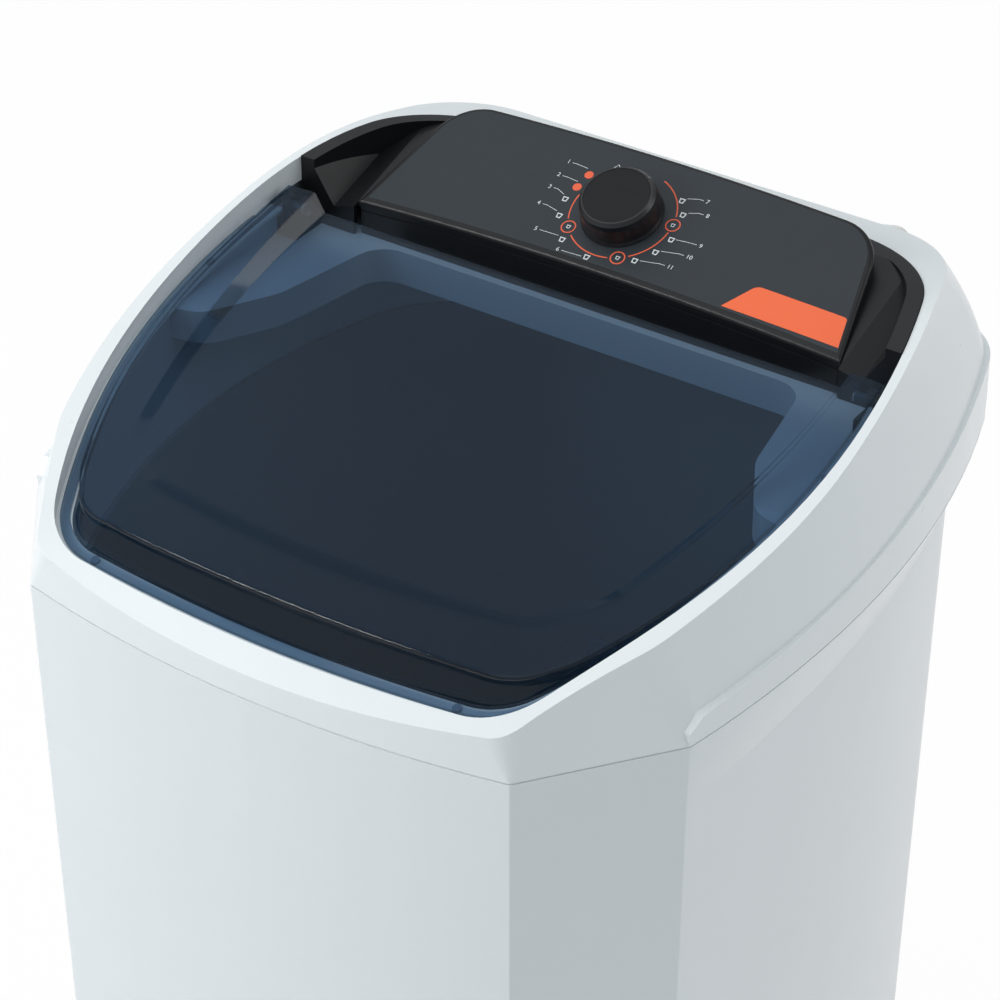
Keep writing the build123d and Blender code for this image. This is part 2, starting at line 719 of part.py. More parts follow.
def panel_prism(inset, low, high):
    """The plateau outline seen from above, drawn in by inset."""
    slant = (PLATEAU_FRONT_X - PLATEAU_REAR_X) / (PLATEAU_REAR_Y - PLATEAU_Y)
    across = inset * sqrt(1 + slant**2)
    front_y, rear_y = PLATEAU_Y + inset, PLATEAU_REAR_Y - inset
    front_x = PLATEAU_FRONT_X - slant * inset - across
    rear_x = PLATEAU_REAR_X + slant * inset - across
    corners = [(front_x, front_y), (rear_x, rear_y), (-rear_x, rear_y), (-front_x, front_y)]
    face = Face(Wire(Polyline(*corners, close=True).edges()))
    picks = [nearest_vertex(face, side * rear_x, rear_y) for side in (-1, 1)]
    face = face.fillet_2d(PLATEAU_CORNER_R - inset, picks)
    return extrude(Pos(0, 0, low) * face, amount=high - low, dir=(0, 0, 1))


def under_panel(drop):
    """Everything under the crowned panel surface, lowered by drop."""
    return PANEL * Pos(0, 50, -PANEL_CROWN_R) * Rot(90, 0, 0) * Cylinder(PANEL_CROWN_R - drop, 500)


def valley_cut(gap):
    """The two valleys beside the plateau; gap carries the cut into the wall."""
    start_y = CHEEK_Y - 30
    half = [(x, SEAM_Z + z - VALLEY_SLOPE * 30) for x, z in shifted_path(VALLEY, gap)]
    top = [(half[-1][0], SEAM_Z + 300)]
    outline = Plane(origin=(0, start_y, 0), x_dir=(1, 0, 0), z_dir=(0, -1, 0)) * Polygon(
        *both_ways(half + top), align=None)
    cut = extrude(outline, amount=260, dir=Vector(0, 1, VALLEY_SLOPE).normalized())
    return cut & MOUTH.inset(SEAT_GAP + STRIP_W - gap).prism(SEAM_Z, SEAM_Z + 400)


def console_block(gap, panel_drop):
    """The console outline moved inwards by gap, as a solid down to the deck."""
    low, high = DECK_TOP, SEAM_Z + 180
    plan = MOUTH.inset(SEAT_GAP + gap)
    rim = plan.prism(low, high) & below_profile(RIM_PROFILE, STRIP_LIFT - gap) & behind(CHEEK_Y + gap)
    rim -= valley_cut(gap)
    nose_x = PLATEAU_FRONT_X - gap
    rim -= block(-nose_x, nose_x, 0, PLATEAU_Y + gap, low - 1, high)
    rim -= panel_prism(gap, low - 1, high + 50)
    plateau = panel_prism(gap, low, high + 50) & under_panel(panel_drop)
    if not gap:
        top_edges = plateau.edges().filter_by(lambda edge: edge.center().Z > ARM_TOP and not_upright(edge))
        plateau = fillet(top_edges, PLATEAU_EDGE_R) - lip_groove()
    arm_top = ARM_TOP - (ARM_T if gap else 0)
    arms = plan.prism(low, arm_top) & behind(ARM_FRONT_Y + gap)
    return rim + plateau + (arms - block(-ARM_X - gap, ARM_X + gap, 0, 300, 0, 1000))


def lip_groove():
    """A shallow groove along the plateau's front wall, under its crowned top edge."""
    band = under_panel(LIP_GROOVE_DROP) - under_panel(LIP_GROOVE_DROP + LIP_GROOVE_W)
    half = PLATEAU_FRONT_X + 1
    return band & block(-half, half, PLATEAU_Y - 1, PLATEAU_Y + LIP_GROOVE_DEPTH, DECK_TOP, SEAM_Z + 200)


def not_upright(edge):
    return abs(edge.tangent_at(0.5).Z) < 0.9


def console_screw_places():
    return [facing_up(side * (ARM_X + 7.5), (ARM_FRONT_Y + CHEEK_Y) / 2 + 7, ARM_TOP) for side in (-1, 1)]


def timer_screw_places():
    return [PANEL * Pos(KNOB_U + side * TIMER_SCREW_U, KNOB_V, -FASCIA_T) for side in (-1, 1)]


def console_housing():
    room = console_block(WALL, PANEL_WALL) - block(-400, 400, 0, 400, 0, DECK_TOP - 1)
    housing = console_block(0, 0) - room
    ear = block(EAR_X, EAR_X + EAR_W, HINGE_Y - HINGE_R, HINGE_Y + HINGE_R, ARM_TOP - 1, HINGE_Z)
    ear += rod_x(EAR_X, EAR_X + EAR_W, HINGE_Y, HINGE_Z, HINGE_R)
    ear -= rod_x(EAR_X - 1, EAR_X + EAR_W + 1, HINGE_Y, HINGE_Z, PIN_R)
    for part in mirrored(ear):
        housing += part
    housing -= fascia_solid(0)
    housing -= PANEL * Pos(KNOB_U, KNOB_V, 0) * Cylinder(TIMER_SHAFT_R + 1, 40)
    for place in timer_screw_places():
        housing -= screw_hole(place, 12, 1.6)
    for place in console_screw_places():
        housing -= screw_hole(place, 20)
    housing -= rod_y(INLET_X, 225, 260, INLET_Z, INLET_PIPE_R + SEAT_GAP)
    housing -= rod_y(LOOM_X, 225, 260, INLET_Z, LOOM_R + 2)
    return housing


def console_screws():
    return Compound([screw(place, 12) for place in console_screw_places()])


def fascia_solid(gap):
    """The plate that lies in the top of the plateau."""
    margin = FASCIA_MARGIN + PLATEAU_EDGE_R / 2 + gap
    return (panel_prism(margin, DECK_TOP, SEAM_Z + 250) & under_panel(0)) - under_panel(FASCIA_T)


def badge_prism(gap, low, high):
    face = Face(Wire(Polyline(*BADGE, close=True).edges()))
    face = face.fillet_2d(8, [nearest_vertex(face, *BADGE[1])])
    face = face.fillet_2d(3, [nearest_vertex(face, *BADGE[2])])
    if gap:
        face = offset(face, amount=gap)
    return PANEL * extrude(Pos(0, 0, low) * face, amount=high - low, dir=(0, 0, 1))


def fascia_plate():
    plate = fascia_solid(HOLE_GAP)
    plate -= badge_prism(HOLE_GAP, -30, 10) - under_panel(BADGE_T)
    plate -= PANEL * Pos(KNOB_U, KNOB_V, 0) * Cylinder(TIMER_SHAFT_R + 1, 40)
    for place in timer_screw_places():
        plate -= place * Cylinder(4.2, 20)
    return plate


def badge_plate():
    return (badge_prism(0, -30, 10) & under_panel(0)) - under_panel(BADGE_T - RUN_GAP)


# Timer and knob


def flat_rod(radius, low, high, gap=0.0):
    """A round rod about Z with one flat side."""
    return rod(0, 0, low, high, radius + gap) - block(radius * 0.6 + gap, 50, -50, 50, low - 1, high + 1)


def timer_body():
    case = rod(0, 0, TIMER_TOP - TIMER_H, TIMER_TOP, TIMER_R)
    case = fillet(case.edges().group_by(Axis.Z)[0], 3)
    case += block(-TIMER_SCREW_U - 7, TIMER_SCREW_U + 7, -7, 7, TIMER_TOP - 12, TIMER_TOP)
    case -= rod(0, 0, TIMER_TOP - TIMER_SOCKET - 1, TIMER_TOP + 1, TIMER_SHAFT_R + RUN_GAP)
    for side in (-1, 1):
        case -= rod(side * TIMER_SCREW_U, 0, TIMER_TOP - 9, TIMER_TOP + 1, 1.6 + HOLE_GAP)
    return PANEL * Pos(KNOB_U, KNOB_V, 0) * case


def timer_screws():
    return Compound([screw(place, 10, 1.6, 3.6, 1.6) for place in timer_screw_places()])


def timer_shaft():
    knob_top = KNOB_LIFT + KNOB_H - 5
    stem = rod(0, 0, TIMER_TOP - TIMER_SOCKET, KNOB_LIFT, TIMER_SHAFT_R)
    stem += flat_rod(TIMER_SHAFT_R, KNOB_LIFT, knob_top)
    return PANEL * Pos(KNOB_U, KNOB_V, 0) * stem


def timer_knob():
    outer = turned([
        (0, 0), (KNOB_BASE_R, 0), (KNOB_BASE_R - 1, 2.5), (KNOB_TOP_R + 0.8, KNOB_H - 6),
        (KNOB_TOP_R, KNOB_H - 2.6), (CAP_R + 1.2, KNOB_H), (0, KNOB_H)])
    outer -= turned([
        (KNOB_HUB_R, -1), (KNOB_BASE_R - KNOB_WALL, -1), (KNOB_TOP_R - KNOB_WALL, KNOB_H - 5),
        (KNOB_HUB_R, KNOB_H - 5)])
    outer -= rod(0, 0, KNOB_H - CAP_T, KNOB_H + 1, CAP_R)
    outer -= flat_rod(TIMER_SHAFT_R, -1, KNOB_H - 4.5, RUN_GAP)
    return KNOB_PLACE * outer


def knob_cap():
    disc = rod(0, 0, KNOB_H - CAP_T, KNOB_H - 0.3, CAP_R - HOLE_GAP)
    return KNOB_PLACE * disc


# Lid


def sloped_place(height, slope):
    """A plane above the machine's middle that rises towards the rear."""
    return Plane(origin=(0, 0, SEAM_Z + height), x_dir=(1, 0, 0), z_dir=Vector(0, -slope, 1).normalized())


def under_frame(drop):
    """Everything under the crowned top of the lid, lowered by drop."""
    place = sloped_place(LID_H + LID_CROWN, LID_SLOPE)
    return place * Pos(0, 0, -LID_CROWN_R) * Rot(90, 0, 0) * Cylinder(LID_CROWN_R - drop, 1000)


def lid_solid(inset):
    foot = SKIRT_FOOT.inset(inset).face(SEAM_Z + SKIRT_FOOT_H)
    top = SKIRT_TOP.inset(inset).face(SEAM_Z + SKIRT_TOP_H)
    solid = loft([foot, top], ruled=True) + SKIRT_TOP.inset(inset).prism(SEAM_Z + SKIRT_TOP_H, SEAM_Z + 200)
    return solid & under_frame(inset)


def relief_cut(grow):
    """The sunk panel of the lid; grow carries it outwards for the inner face."""
    low = sloped_place(RELIEF_H - grow, RELIEF_SLOPE) * RELIEF_LOW.inset(-grow / 2).face()
    rim_height = LID_H + LID_CROWN + RELIEF_OVER - grow
    high = sloped_place(rim_height, LID_SLOPE) * RELIEF_HIGH.inset(-grow / 2).face()
    return loft([low, high], ruled=True) + extrude(high, amount=60, dir=(0, 0, 1))


def rounded_lid():
    """The lid's outer form, its top edge rounded."""
    solid = lid_solid(0) - behind(LID_REAR_Y + LID_EDGE_R)
    low = SEAM_Z + SKIRT_TOP_H + 1
    edges = solid.edges().filter_by(
        lambda edge: not_upright(edge) and edge.center().Z > low and edge.center().Y < LID_REAR_Y)
    return fillet(edges, LID_EDGE_R)


def lid():
    hollow = lid_solid(LID_T)
    under_flange = below_profile(SEAT_PROFILE, -LID_FLANGE_T)
    flange = MOUTH.band(SEAM_Z, SEAM_Z + 160, LID_FLANGE_INSET, LEDGE_SEAT_W - 1)
    flange &= below_profile(SEAT_PROFILE)
    flange -= [under_flange, hollow, behind(LID_REAR_Y)]
    for part in mirrored(block(LID_SWING_X, 400, LID_SWING_Y, LID_REAR_Y + 1, SEAM_Z, SEAM_Z + 200)):
        flange -= part
    shell = rounded_lid() - [relief_cut(0), under_flange - hollow, behind(LID_REAR_Y)]
    shell -= (hollow - relief_cut(LID_T)) - (behind(LID_REAR_Y - LID_T) - under_flange)
    shell += flange
    roof = HINGE_Z + HINGE_R + 4
    lug = block(LUG_X, LUG_X + LUG_W, HINGE_Y - HINGE_R, LID_REAR_Y, HINGE_Z, roof)
    lug += rod_x(LUG_X, LUG_X + LUG_W, HINGE_Y, HINGE_Z, HINGE_R)
    lug += block(LUG_X, LUG_X + LUG_W, HINGE_Y - HINGE_R, LID_REAR_Y, roof - 1, roof + 10) & under_frame(1)
    room = block(EAR_X - 0.9, EAR_X + EAR_W + 1, HINGE_Y - HINGE_R - 2, 200, 0, HINGE_Z + HINGE_R + 1.5)
    for part in mirrored(room):
        shell -= part
    for part in mirrored(lug):
        shell += part
    for part in mirrored(rod_x(LUG_X - 5, LUG_X + LUG_W + 0.5, HINGE_Y, HINGE_Z, PIN_R + RUN_GAP)):
        shell -= part
    return shell


def lid_hinge_pins():
    pin = rod_x(LUG_X - PIN_HEAD_T - 0.3, EAR_X + EAR_W, HINGE_Y, HINGE_Z, PIN_R)
    pin += rod_x(LUG_X - PIN_HEAD_T - 0.3, LUG_X - 0.3, HINGE_Y, HINGE_Z, PIN_HEAD_R)
    return Compound(mirrored(pin))


def lid_bumpers():
    """Small rubber pads on the seat, under the flange of the lid."""
    middle = (LID_FLANGE_INSET + LEDGE_SEAT_W) / 2
    spots = [(MOUTH.apex[0] - middle, MOUTH.apex[1]), (150, MOUTH.front + middle + 7.2)]
    pads = []
    for x, y in spots:
        pad = rod(x, y, SEAM_Z, SEAM_Z + 160, BUMPER_R) & below_profile(SEAT_PROFILE, -LID_FLANGE_T - 0.1)
        pads += mirrored(pad - below_profile(SEAT_PROFILE, -LEDGE_SEAT_DROP))
    return Compound(pads)


# Agitator, shaft and bearings


def shaft_section(low, high, gap=0.0):
    """The two-flat end of the drive shaft."""
    flats = block(-SHAFT_FLAT - gap, SHAFT_FLAT + gap, -50, 50, low, high)
    return rod(0, 0, low, high, SHAFT_R + gap) & flats


def on_axis(solid):
    return Pos(0, TUB_Y, 0) * solid


def agitator():
    edge = AGITATOR_R
    dish = turned([
        (0, 0), (edge - 3, 0), (edge, 3), (edge, 7), (edge - 10, 12), (70, 19), (38, 29), (HUB_R + 3, 44),
        (HUB_R, HUB_H), (0, HUB_H)])
    dish -= turned([(18, -1), (edge - 5, -1), (edge - 5, 4), (edge - 13, 8), (66, 14), (32, 22), (18, 22)])
    for spot in PolarLocations(0, 6).locations:
        root = HUB_R - 2
        outline = [(root, 20), (edge - 12, 6), (edge - 9, 17), (edge - 24, 26), (80, 38), (root, 56)]
        dish += spot * extrude(Plane.XZ * Polygon(*outline, align=None), amount=6, both=True)
    dish -= [spot * rod(0, 0, 0, 40, 3.5) for spot in PolarLocations(112, 12, start_angle=15).locations]
    dish -= rod(0, 0, HUB_FLOOR + 4, HUB_H + 1, HUB_WELL_R)
    dish -= rod(0, 0, 0, HUB_H, 3 + HOLE_GAP)
    dish -= shaft_section(-1, HUB_FLOOR, RUN_GAP)
    return on_axis(Pos(0, 0, AGITATOR_BASE) * dish)


def agitator_screw():
    place = facing_up(0, TUB_Y, AGITATOR_BASE + HUB_FLOOR + 4)
    return screw(place, 20, 3.0, 7.0, 4.5)


def agitator_cap():
    top = AGITATOR_BASE + HUB_H
    cap = rod(0, 0, top, top + 5, HUB_R - 1)
    cap = fillet(cap.edges().sort_by(Axis.Z)[-1], 3.5)
    return on_axis(cap + tube(0, 0, top - 10, top, HUB_WELL_R - HOLE_GAP, HUB_WELL_R - 2.5))


def drive_shaft():
    top = AGITATOR_BASE + HUB_FLOOR
    flat_top = PULLEY_LOW + SHAFT_FLAT_H
    shaft = rod(0, 0, flat_top, AGITATOR_BASE - 1, SHAFT_R)
    shaft += shaft_section(AGITATOR_BASE - 1, top) + shaft_section(PULLEY_LOW, flat_top)
    shaft += rod(0, 0, SHAFT_BOTTOM, PULLEY_LOW, NUT_R / 2)
    shaft -= rod(0, 0, top - 17, top + 1, 3 + HOLE_GAP)
    return on_axis(shaft)


def shaft_seal():
    low = HOUSING_TOP - SEAL_DEPTH
    return on_axis(tube(0, 0, low, TUB_FLOOR, BEARING_R - RUN_GAP, SHAFT_R + RUN_GAP))


def bearing(low):
    body = tube(0, 0, low, low + BEARING_H, BEARING_R - RUN_GAP, SHAFT_R + RUN_GAP)
    for z in (low, low + BEARING_H):
        body -= tube(0, 0, z - 1, z + 1, BEARING_R - 3, SHAFT_R + 3)
    return on_axis(body)


def shaft_bearings():
    return Compound([bearing(HOUSING_TOP - SEAL_DEPTH - BEARING_H), bearing(HOUSING_BOTTOM)])


def bearing_housing():
    body = rod(0, 0, HOUSING_BOTTOM, HOUSING_TOP, HOUSING_R)
    body += rod(0, 0, HOUSING_TOP - HOUSING_FLANGE_T, HOUSING_TOP, HOUSING_FLANGE_R)
    for spot in PolarLocations(0, 6, start_angle=30).locations:
        rib = Plane.XZ * Polygon(
            (HOUSING_R - 1, HOUSING_TOP - 60), (HOUSING_R - 1, HOUSING_TOP - 4),
            (HOUSING_FLANGE_R - 4, HOUSING_TOP - 4), (HOUSING_FLANGE_R - 4, HOUSING_TOP - 14), align=None)
        body += spot * extrude(rib, amount=2, both=True)
    body -= rod(0, 0, 0, 999, SHAFT_R + 4)
    body -= rod(0, 0, HOUSING_BOTTOM - 1, HOUSING_BOTTOM + BEARING_H, BEARING_R)
    body -= rod(0, 0, HOUSING_TOP - SEAL_DEPTH - BEARING_H, HOUSING_TOP + 1, BEARING_R)
    body = on_axis(body)
    for place in housing_screw_places():
        body -= screw_hole(place, 40)
    return body


def bearing_housing_screws():
    return Compound([screw(place, HOUSING_FLANGE_T + TUB_BOSS_T) for place in housing_screw_places()])


# Pulleys and belt


def half_width(over):
    """Half the belt's width at a distance outside its pitch line."""
    return BELT_W / 2 - (BELT_OVER - over) * BELT_DRAW / (BELT_OVER + BELT_UNDER)


def pulley(pitch_r, hub_r, hub_top):
    """A grooved pulley about Z, with its web and a hub that rises to hub_top."""
    rim_r = pitch_r + PULLEY_RIM
    under, over = -BELT_UNDER - 1, PULLEY_RIM + 1
    groove = [
        (pitch_r + over, PULLEY_Z - half_width(over) - BELT_GAP),
        (pitch_r + under, PULLEY_Z - half_width(under) - BELT_GAP),
        (pitch_r + under, PULLEY_Z + half_width(under) + BELT_GAP),
        (pitch_r + over, PULLEY_Z + half_width(over) + BELT_GAP),
    ]
    body = rod(0, 0, PULLEY_LOW, PULLEY_HIGH, rim_r) + rod(0, 0, PULLEY_LOW, hub_top, hub_r)
    return body - turned(groove)


def driven_pulley():
    hub_top = PULLEY_HIGH + 10
    body = pulley(BIG_PITCH_R, PULLEY_HUB_R, hub_top)
    rim_in = BIG_PITCH_R - BELT_UNDER - 6
    for low in (PULLEY_LOW - 1, PULLEY_Z + 3):
        body -= tube(0, 0, low, low + PULLEY_W / 2 - 2, rim_in, PULLEY_HUB_R)
    for spot in PolarLocations((rim_in + PULLEY_HUB_R) / 2, 6).locations:
        body -= spot * rod(0, 0, PULLEY_LOW - 1, PULLEY_HIGH + 1, 17)
    flat_top = PULLEY_LOW + SHAFT_FLAT_H
    body -= shaft_section(PULLEY_LOW - 1, flat_top, RUN_GAP) + rod(0, 0, flat_top, 999, SHAFT_R + RUN_GAP)
    return on_axis(body)


def pulley_nut():
    nut = extrude(Pos(0, 0, PULLEY_LOW - NUT_H) * RegularPolygon(NUT_R, 6), amount=NUT_H)
    return on_axis(nut - rod(0, 0, 0, 999, NUT_R / 2 + RUN_GAP))


def drive_belt():
    rise = asin((BIG_PITCH_R - SMALL_PITCH_R) / (MOTOR_Y - TUB_Y))
    big_end = (BIG_PITCH_R * cos(rise), TUB_Y + BIG_PITCH_R * sin(rise), PULLEY_Z)
    small_end = (SMALL_PITCH_R * cos(rise), MOTOR_Y + SMALL_PITCH_R * sin(rise), PULLEY_Z)
    big_left, small_left = ((-x, y, z) for x, y, z in (big_end, small_end))
    loop = Wire([
        Line(big_end, small_end),
        ThreePointArc(small_end, (0, MOTOR_Y + SMALL_PITCH_R, PULLEY_Z), small_left),
        Line(small_left, big_left),
        ThreePointArc(big_left, (0, TUB_Y - BIG_PITCH_R, PULLEY_Z), big_end),
    ])
    ahead = (Vector(*small_end) - Vector(*big_end)).normalized()
    place = Plane(origin=big_end, x_dir=(cos(rise), sin(rise), 0), z_dir=ahead)
    section = place * Polygon(
        (BELT_OVER, -half_width(BELT_OVER)), (BELT_OVER, half_width(BELT_OVER)),
        (-BELT_UNDER, half_width(-BELT_UNDER)), (-BELT_UNDER, -half_width(-BELT_UNDER)), align=None)
    return sweep(section, path=loop)


# Motor


def on_motor(solid):
    return Pos(0, MOTOR_Y, 0) * solid


def motor_pulley():
    body = pulley(SMALL_PITCH_R, SMALL_PITCH_R - BELT_UNDER - 2, PULLEY_HIGH + 8)
    return on_motor(body - flat_rod(MOTOR_SHAFT_R, 0, 999, RUN_GAP))


def motor_shaft():
    shaft = flat_rod(MOTOR_SHAFT_R, PULLEY_LOW - 2, PULLEY_HIGH + 8)
    return on_motor(shaft + rod(0, 0, PULLEY_HIGH + 8, MOTOR_TOP - 3, MOTOR_SHAFT_R))


def rotor_span():
    return PLATE_TOP + END_CAP_H + 6, MOTOR_TOP - END_CAP_H - 6


def motor_rotor():
    low, high = rotor_span()
    core = rod(0, 0, low, high, STATOR_BORE_R - AIR_GAP)
    for spot in PolarLocations(STATOR_BORE_R - 12, 8).locations:
        core -= spot * rod(0, 0, low - 1, high + 1, 3)
    return on_motor(core - rod(0, 0, 0, 999, MOTOR_SHAFT_R + RUN_GAP))


def motor_stator():
    low = PLATE_TOP + END_CAP_H
    body = rod(0, 0, low, low + STATOR_H, MOTOR_R)
    for row in range(5):
        z = low + 12 + 12 * row
        body -= tube(0, 0, z - 1.5, z + 1.5, MOTOR_R + 1, MOTOR_R - 1.5)
    return on_motor(body - rod(0, 0, 0, 999, STATOR_BORE_R))


def end_cap(low):
    body = rod(0, 0, low, low + END_CAP_H, MOTOR_R)
    for spot in PolarLocations(MOTOR_R * 0.72, 8, start_angle=22.5).locations:
        body -= spot * rod(0, 0, 0, 999, 6)
    return body - rod(0, 0, 0, 999, MOTOR_SHAFT_R + RUN_GAP)


def motor_end_caps():
    caps = [on_motor(end_cap(low)) for low in (PLATE_TOP, PLATE_TOP + END_CAP_H + STATOR_H)]
    lower = caps[0]
    for place in motor_screw_places():
        lower -= screw_hole(place, 12)
    return Compound([lower, caps[1]])


def motor_screw_places():
    ring = PolarLocations(MOTOR_R * 0.72, 4)
    return [facing_down(spot.position.X, MOTOR_Y + spot.position.Y, BRACKET_Z) for spot in ring.locations]


def bracket_screw_places():
    return [facing_up(x, y, PLATE_TOP) for x, y in POST_SPOTS]


def motor_bracket():
    (left, front), (right, rear) = min(POST_SPOTS), max(POST_SPOTS)
    width, depth = right - left + 30, rear - front + 30
    plate = extrude(RectangleRounded(width, depth, 14), amount=BRACKET_T)
    plate = Pos(0, (front + rear) / 2, BRACKET_Z) * plate
    plate -= rod(0, MOTOR_Y, 0, 999, MOTOR_R * 0.5)
    for place in motor_screw_places() + bracket_screw_places():
        plate -= screw_hole(place, 10)
    return plate


def bracket_bushes():
    low = BRACKET_Z - BUSH_H
    bushes = []
    for x, y in POST_SPOTS:
        bush = tube(x, y, low, BRACKET_Z, BUSH_R, SCREW_R + HOLE_GAP)
        bushes.append(bush - tube(x, y, low + 2, low + 4, BUSH_R + 1, BUSH_R - 1.2))
    return Compound(bushes)


def motor_screws():
    """Screws of the motor's lower cap and of the bracket, all alike."""
    lower = [screw(place, 11) for place in motor_screw_places()]
    return Compound(lower + [screw(place, 18) for place in bracket_screw_places()])


def capacitor():
    low = FRAME_BOTTOM + RAIL_H + 2
    can = rod(*CAPACITOR_AT, low, low + CAPACITOR_H, CAPACITOR_R)
    can = fillet(can.edges().group_by(Axis.Z)[-1], 4)
    x, y = CAPACITOR_AT
    top = low + CAPACITOR_H
    for tab_x in (x - 6, x + 6):
        can += block(tab_x - 3, tab_x + 3, y - 0.5, y + 0.5, top - 2, top + 9)
    return can


def capacitor_clip():
    low = FRAME_BOTTOM + RAIL_H
    ring = tube(*CAPACITOR_AT, low, low + 18, CAPACITOR_R + 2.5, CAPACITOR_R + RUN_GAP)
    plate = rod(*CAPACITOR_AT, low, low + 2 - RUN_GAP, CAPACITOR_R + 1)
    x, y = CAPACITOR_AT
    return ring + plate - block(x, x + 30, y - 4, y + 4, low + 2, low + 30)


# Water


def bent_tube(points, bends, outer, inner):
    """A tube along straight runs joined by round bends."""
    path = FilletPolyline(*points, radius=bends)
    start = Vector(*points[0])
    place = Plane(origin=start, z_dir=Vector(*points[1]) - start)
    body = sweep(place * Circle(outer), path=path)
    return body - sweep(place * Circle(inner), path=path) if inner else body


def drain_pipe():
    x, y = DRAIN_AT
    points = [(x, y, TUB_FLOOR - WALL - 4), (x, y, SPIGOT_Z), (x, spigot_seat_y() - 8, SPIGOT_Z)]
    return bent_tube(points, DRAIN_BEND_R, DRAIN_PIPE_R, DRAIN_STUB_R + RUN_GAP)


def spigot_seat_y():
    """Depth at which the spigot's flange lies on the drafted rear wall."""
    return body_rear_y(SPIGOT_Z + SPIGOT_FLANGE_R) + RUN_GAP


def drain_spigot():
    seat = spigot_seat_y()
    x = DRAIN_AT[0]
    body = rod_y(x, seat - 32, REAR_END_Y, SPIGOT_Z, SPIGOT_R)
    body += rod_y(x, seat, seat + 3, SPIGOT_Z, SPIGOT_FLANGE_R)
    return body - rod_y(x, seat - 40, 330, SPIGOT_Z, DRAIN_BORE_R)


def hose_clamps():
    inner = DRAIN_PIPE_R + RUN_GAP
    x, y = DRAIN_AT
    upper_z = TUB_FLOOR - WALL - 16
    upper = tube(x, y, upper_z, upper_z + 7, inner + 1.2, inner)
    upper += block(x + inner + 0.5, x + inner + 9, y - 4, y + 4, upper_z, upper_z + 7)
    rear_y = spigot_seat_y() - 20
    rear = tube_y(x, rear_y, rear_y + 7, SPIGOT_Z, inner + 1.2, inner)
    rear += block(x - 4, x + 4, rear_y, rear_y + 7, SPIGOT_Z + inner + 0.5, SPIGOT_Z + inner + 9)
    return Compound([upper, rear])


def water_inlet():
    body = rod_y(INLET_X, INLET_SEAT_Y - 30, REAR_END_Y, INLET_Z, INLET_R)
    body += rod_y(INLET_X, INLET_SEAT_Y, INLET_SEAT_Y + 3, INLET_Z, INLET_R + 5)
    return body - rod_y(INLET_X, INLET_SEAT_Y - 40, 330, INLET_Z, INLET_BORE_R)


def inlet_nut():
    low = INLET_SEAT_Y - 27
    nut = facing_rear(INLET_X, low, INLET_Z) * extrude(RegularPolygon(INLET_R + 6, 6), amount=7)
    return nut - rod_y(INLET_X, low - 1, low + 8, INLET_Z, INLET_R + RUN_GAP)


def inlet_pipe():
    points = [
        (INLET_X, INLET_SEAT_Y - 12, INLET_Z),
        (INLET_X, INLET_DROP_Y, INLET_Z),
        (INLET_X, INLET_DROP_Y, DECK_TOP - 13),
    ]
    return bent_tube(points, INLET_BEND_R, INLET_PIPE_R, INLET_PIPE_R - 2)


# Power


def cord_gland():
    """A snap-in gland with its ribs inside the wall and its flange outside."""
    x, z = GLAND_AT
    seat = body_rear_y(z + GLAND_FLANGE_R) + RUN_GAP
    body = rod_y(x, seat - 16, seat + 14, z, GLAND_SEAT_R)
    body += rod_y(x, seat, seat + 4, z, GLAND_FLANGE_R)
    body += rod_y(x, seat - 10, seat - 5, z, GLAND_SEAT_R + 2.5)
    return body - rod_y(x, seat - 20, seat + 20, z, GLAND_BORE_R)


def terminal_block():
    back_y = body_rear_y(TERMINAL_Z) - WALL - SLIDE_GAP
    body = block(LOOM_X - 25, LOOM_X + 25, LOOM_Y - 12, back_y, TERMINAL_Z, TERMINAL_Z + TERMINAL_H)
    for i in range(4):
        x = LOOM_X - 18 + 12 * i
        body -= rod_y(x, LOOM_Y - 13, LOOM_Y - 6, TERMINAL_Z + 12, 3)
    return body


def timer_lead_end():
    """A spot just inside the timer's round side, halfway down it."""
    depth = PANEL_WALL + TIMER_H / 2
    y = PANEL_FRONT_Y + KNOB_V * TILT_COS + depth * TILT_SIN
    return (KNOB_U + LOOM_R - TIMER_R, y, SEAM_Z + PANEL_FRONT_H + KNOB_V * TILT_SIN - depth * TILT_COS)


def wiring_loom():
    """The timer's lead up the rear wall, and the motor's lead, both from the terminal block."""
    end = timer_lead_end()
    timer_lead = [
        (LOOM_X, LOOM_Y, TERMINAL_Z + TERMINAL_H),
        (LOOM_X, LOOM_Y, INLET_Z),
        (LOOM_X, end[1], INLET_Z),
        end,
    ]
    lead_z = TERMINAL_Z + TERMINAL_H / 2
    motor_x = -30
    motor_y = MOTOR_Y + sqrt(MOTOR_R**2 - (abs(motor_x) - LOOM_R) ** 2) + 0.1
    motor_lead = [(LOOM_X + 25, LOOM_Y, lead_z), (motor_x, LOOM_Y, lead_z), (motor_x, motor_y, lead_z)]
    timer_side = PANEL * Pos(KNOB_U, KNOB_V, 0) * rod(0, 0, -100, 0, TIMER_R + HOLE_GAP)
    return Compound([
        bent_tube(timer_lead, [40, 40], LOOM_R, 0) - timer_side,
        bent_tube(motor_lead, [30], LOOM_R, 0),
    ])


def loom_clips():
    clips = []
    for z in (330, 480, 630):
        back_y = body_rear_y(z) - WALL - SLIDE_GAP
        clip = block(LOOM_X - 7, LOOM_X + 7, LOOM_Y - 6, back_y, z, z + 10)
        clips.append(clip - rod(LOOM_X, LOOM_Y, z - 1, z + 11, LOOM_R + RUN_GAP))
    return Compound(clips)


# Lint filter on the rear wall of the tub


def filter_place():
    """Plane on the inner face of the tub's rear wall, local Y up the wall and Z into the tub."""
    y = MOUTH.rear - TUB_INSET - WALL - (TUB_TOP - FILTER_LOW_Z) * WALL_LEAN
    return Plane(origin=(0, y, FILTER_LOW_Z), x_dir=(1, 0, 0), z_dir=Vector(0, -1, WALL_LEAN).normalized())


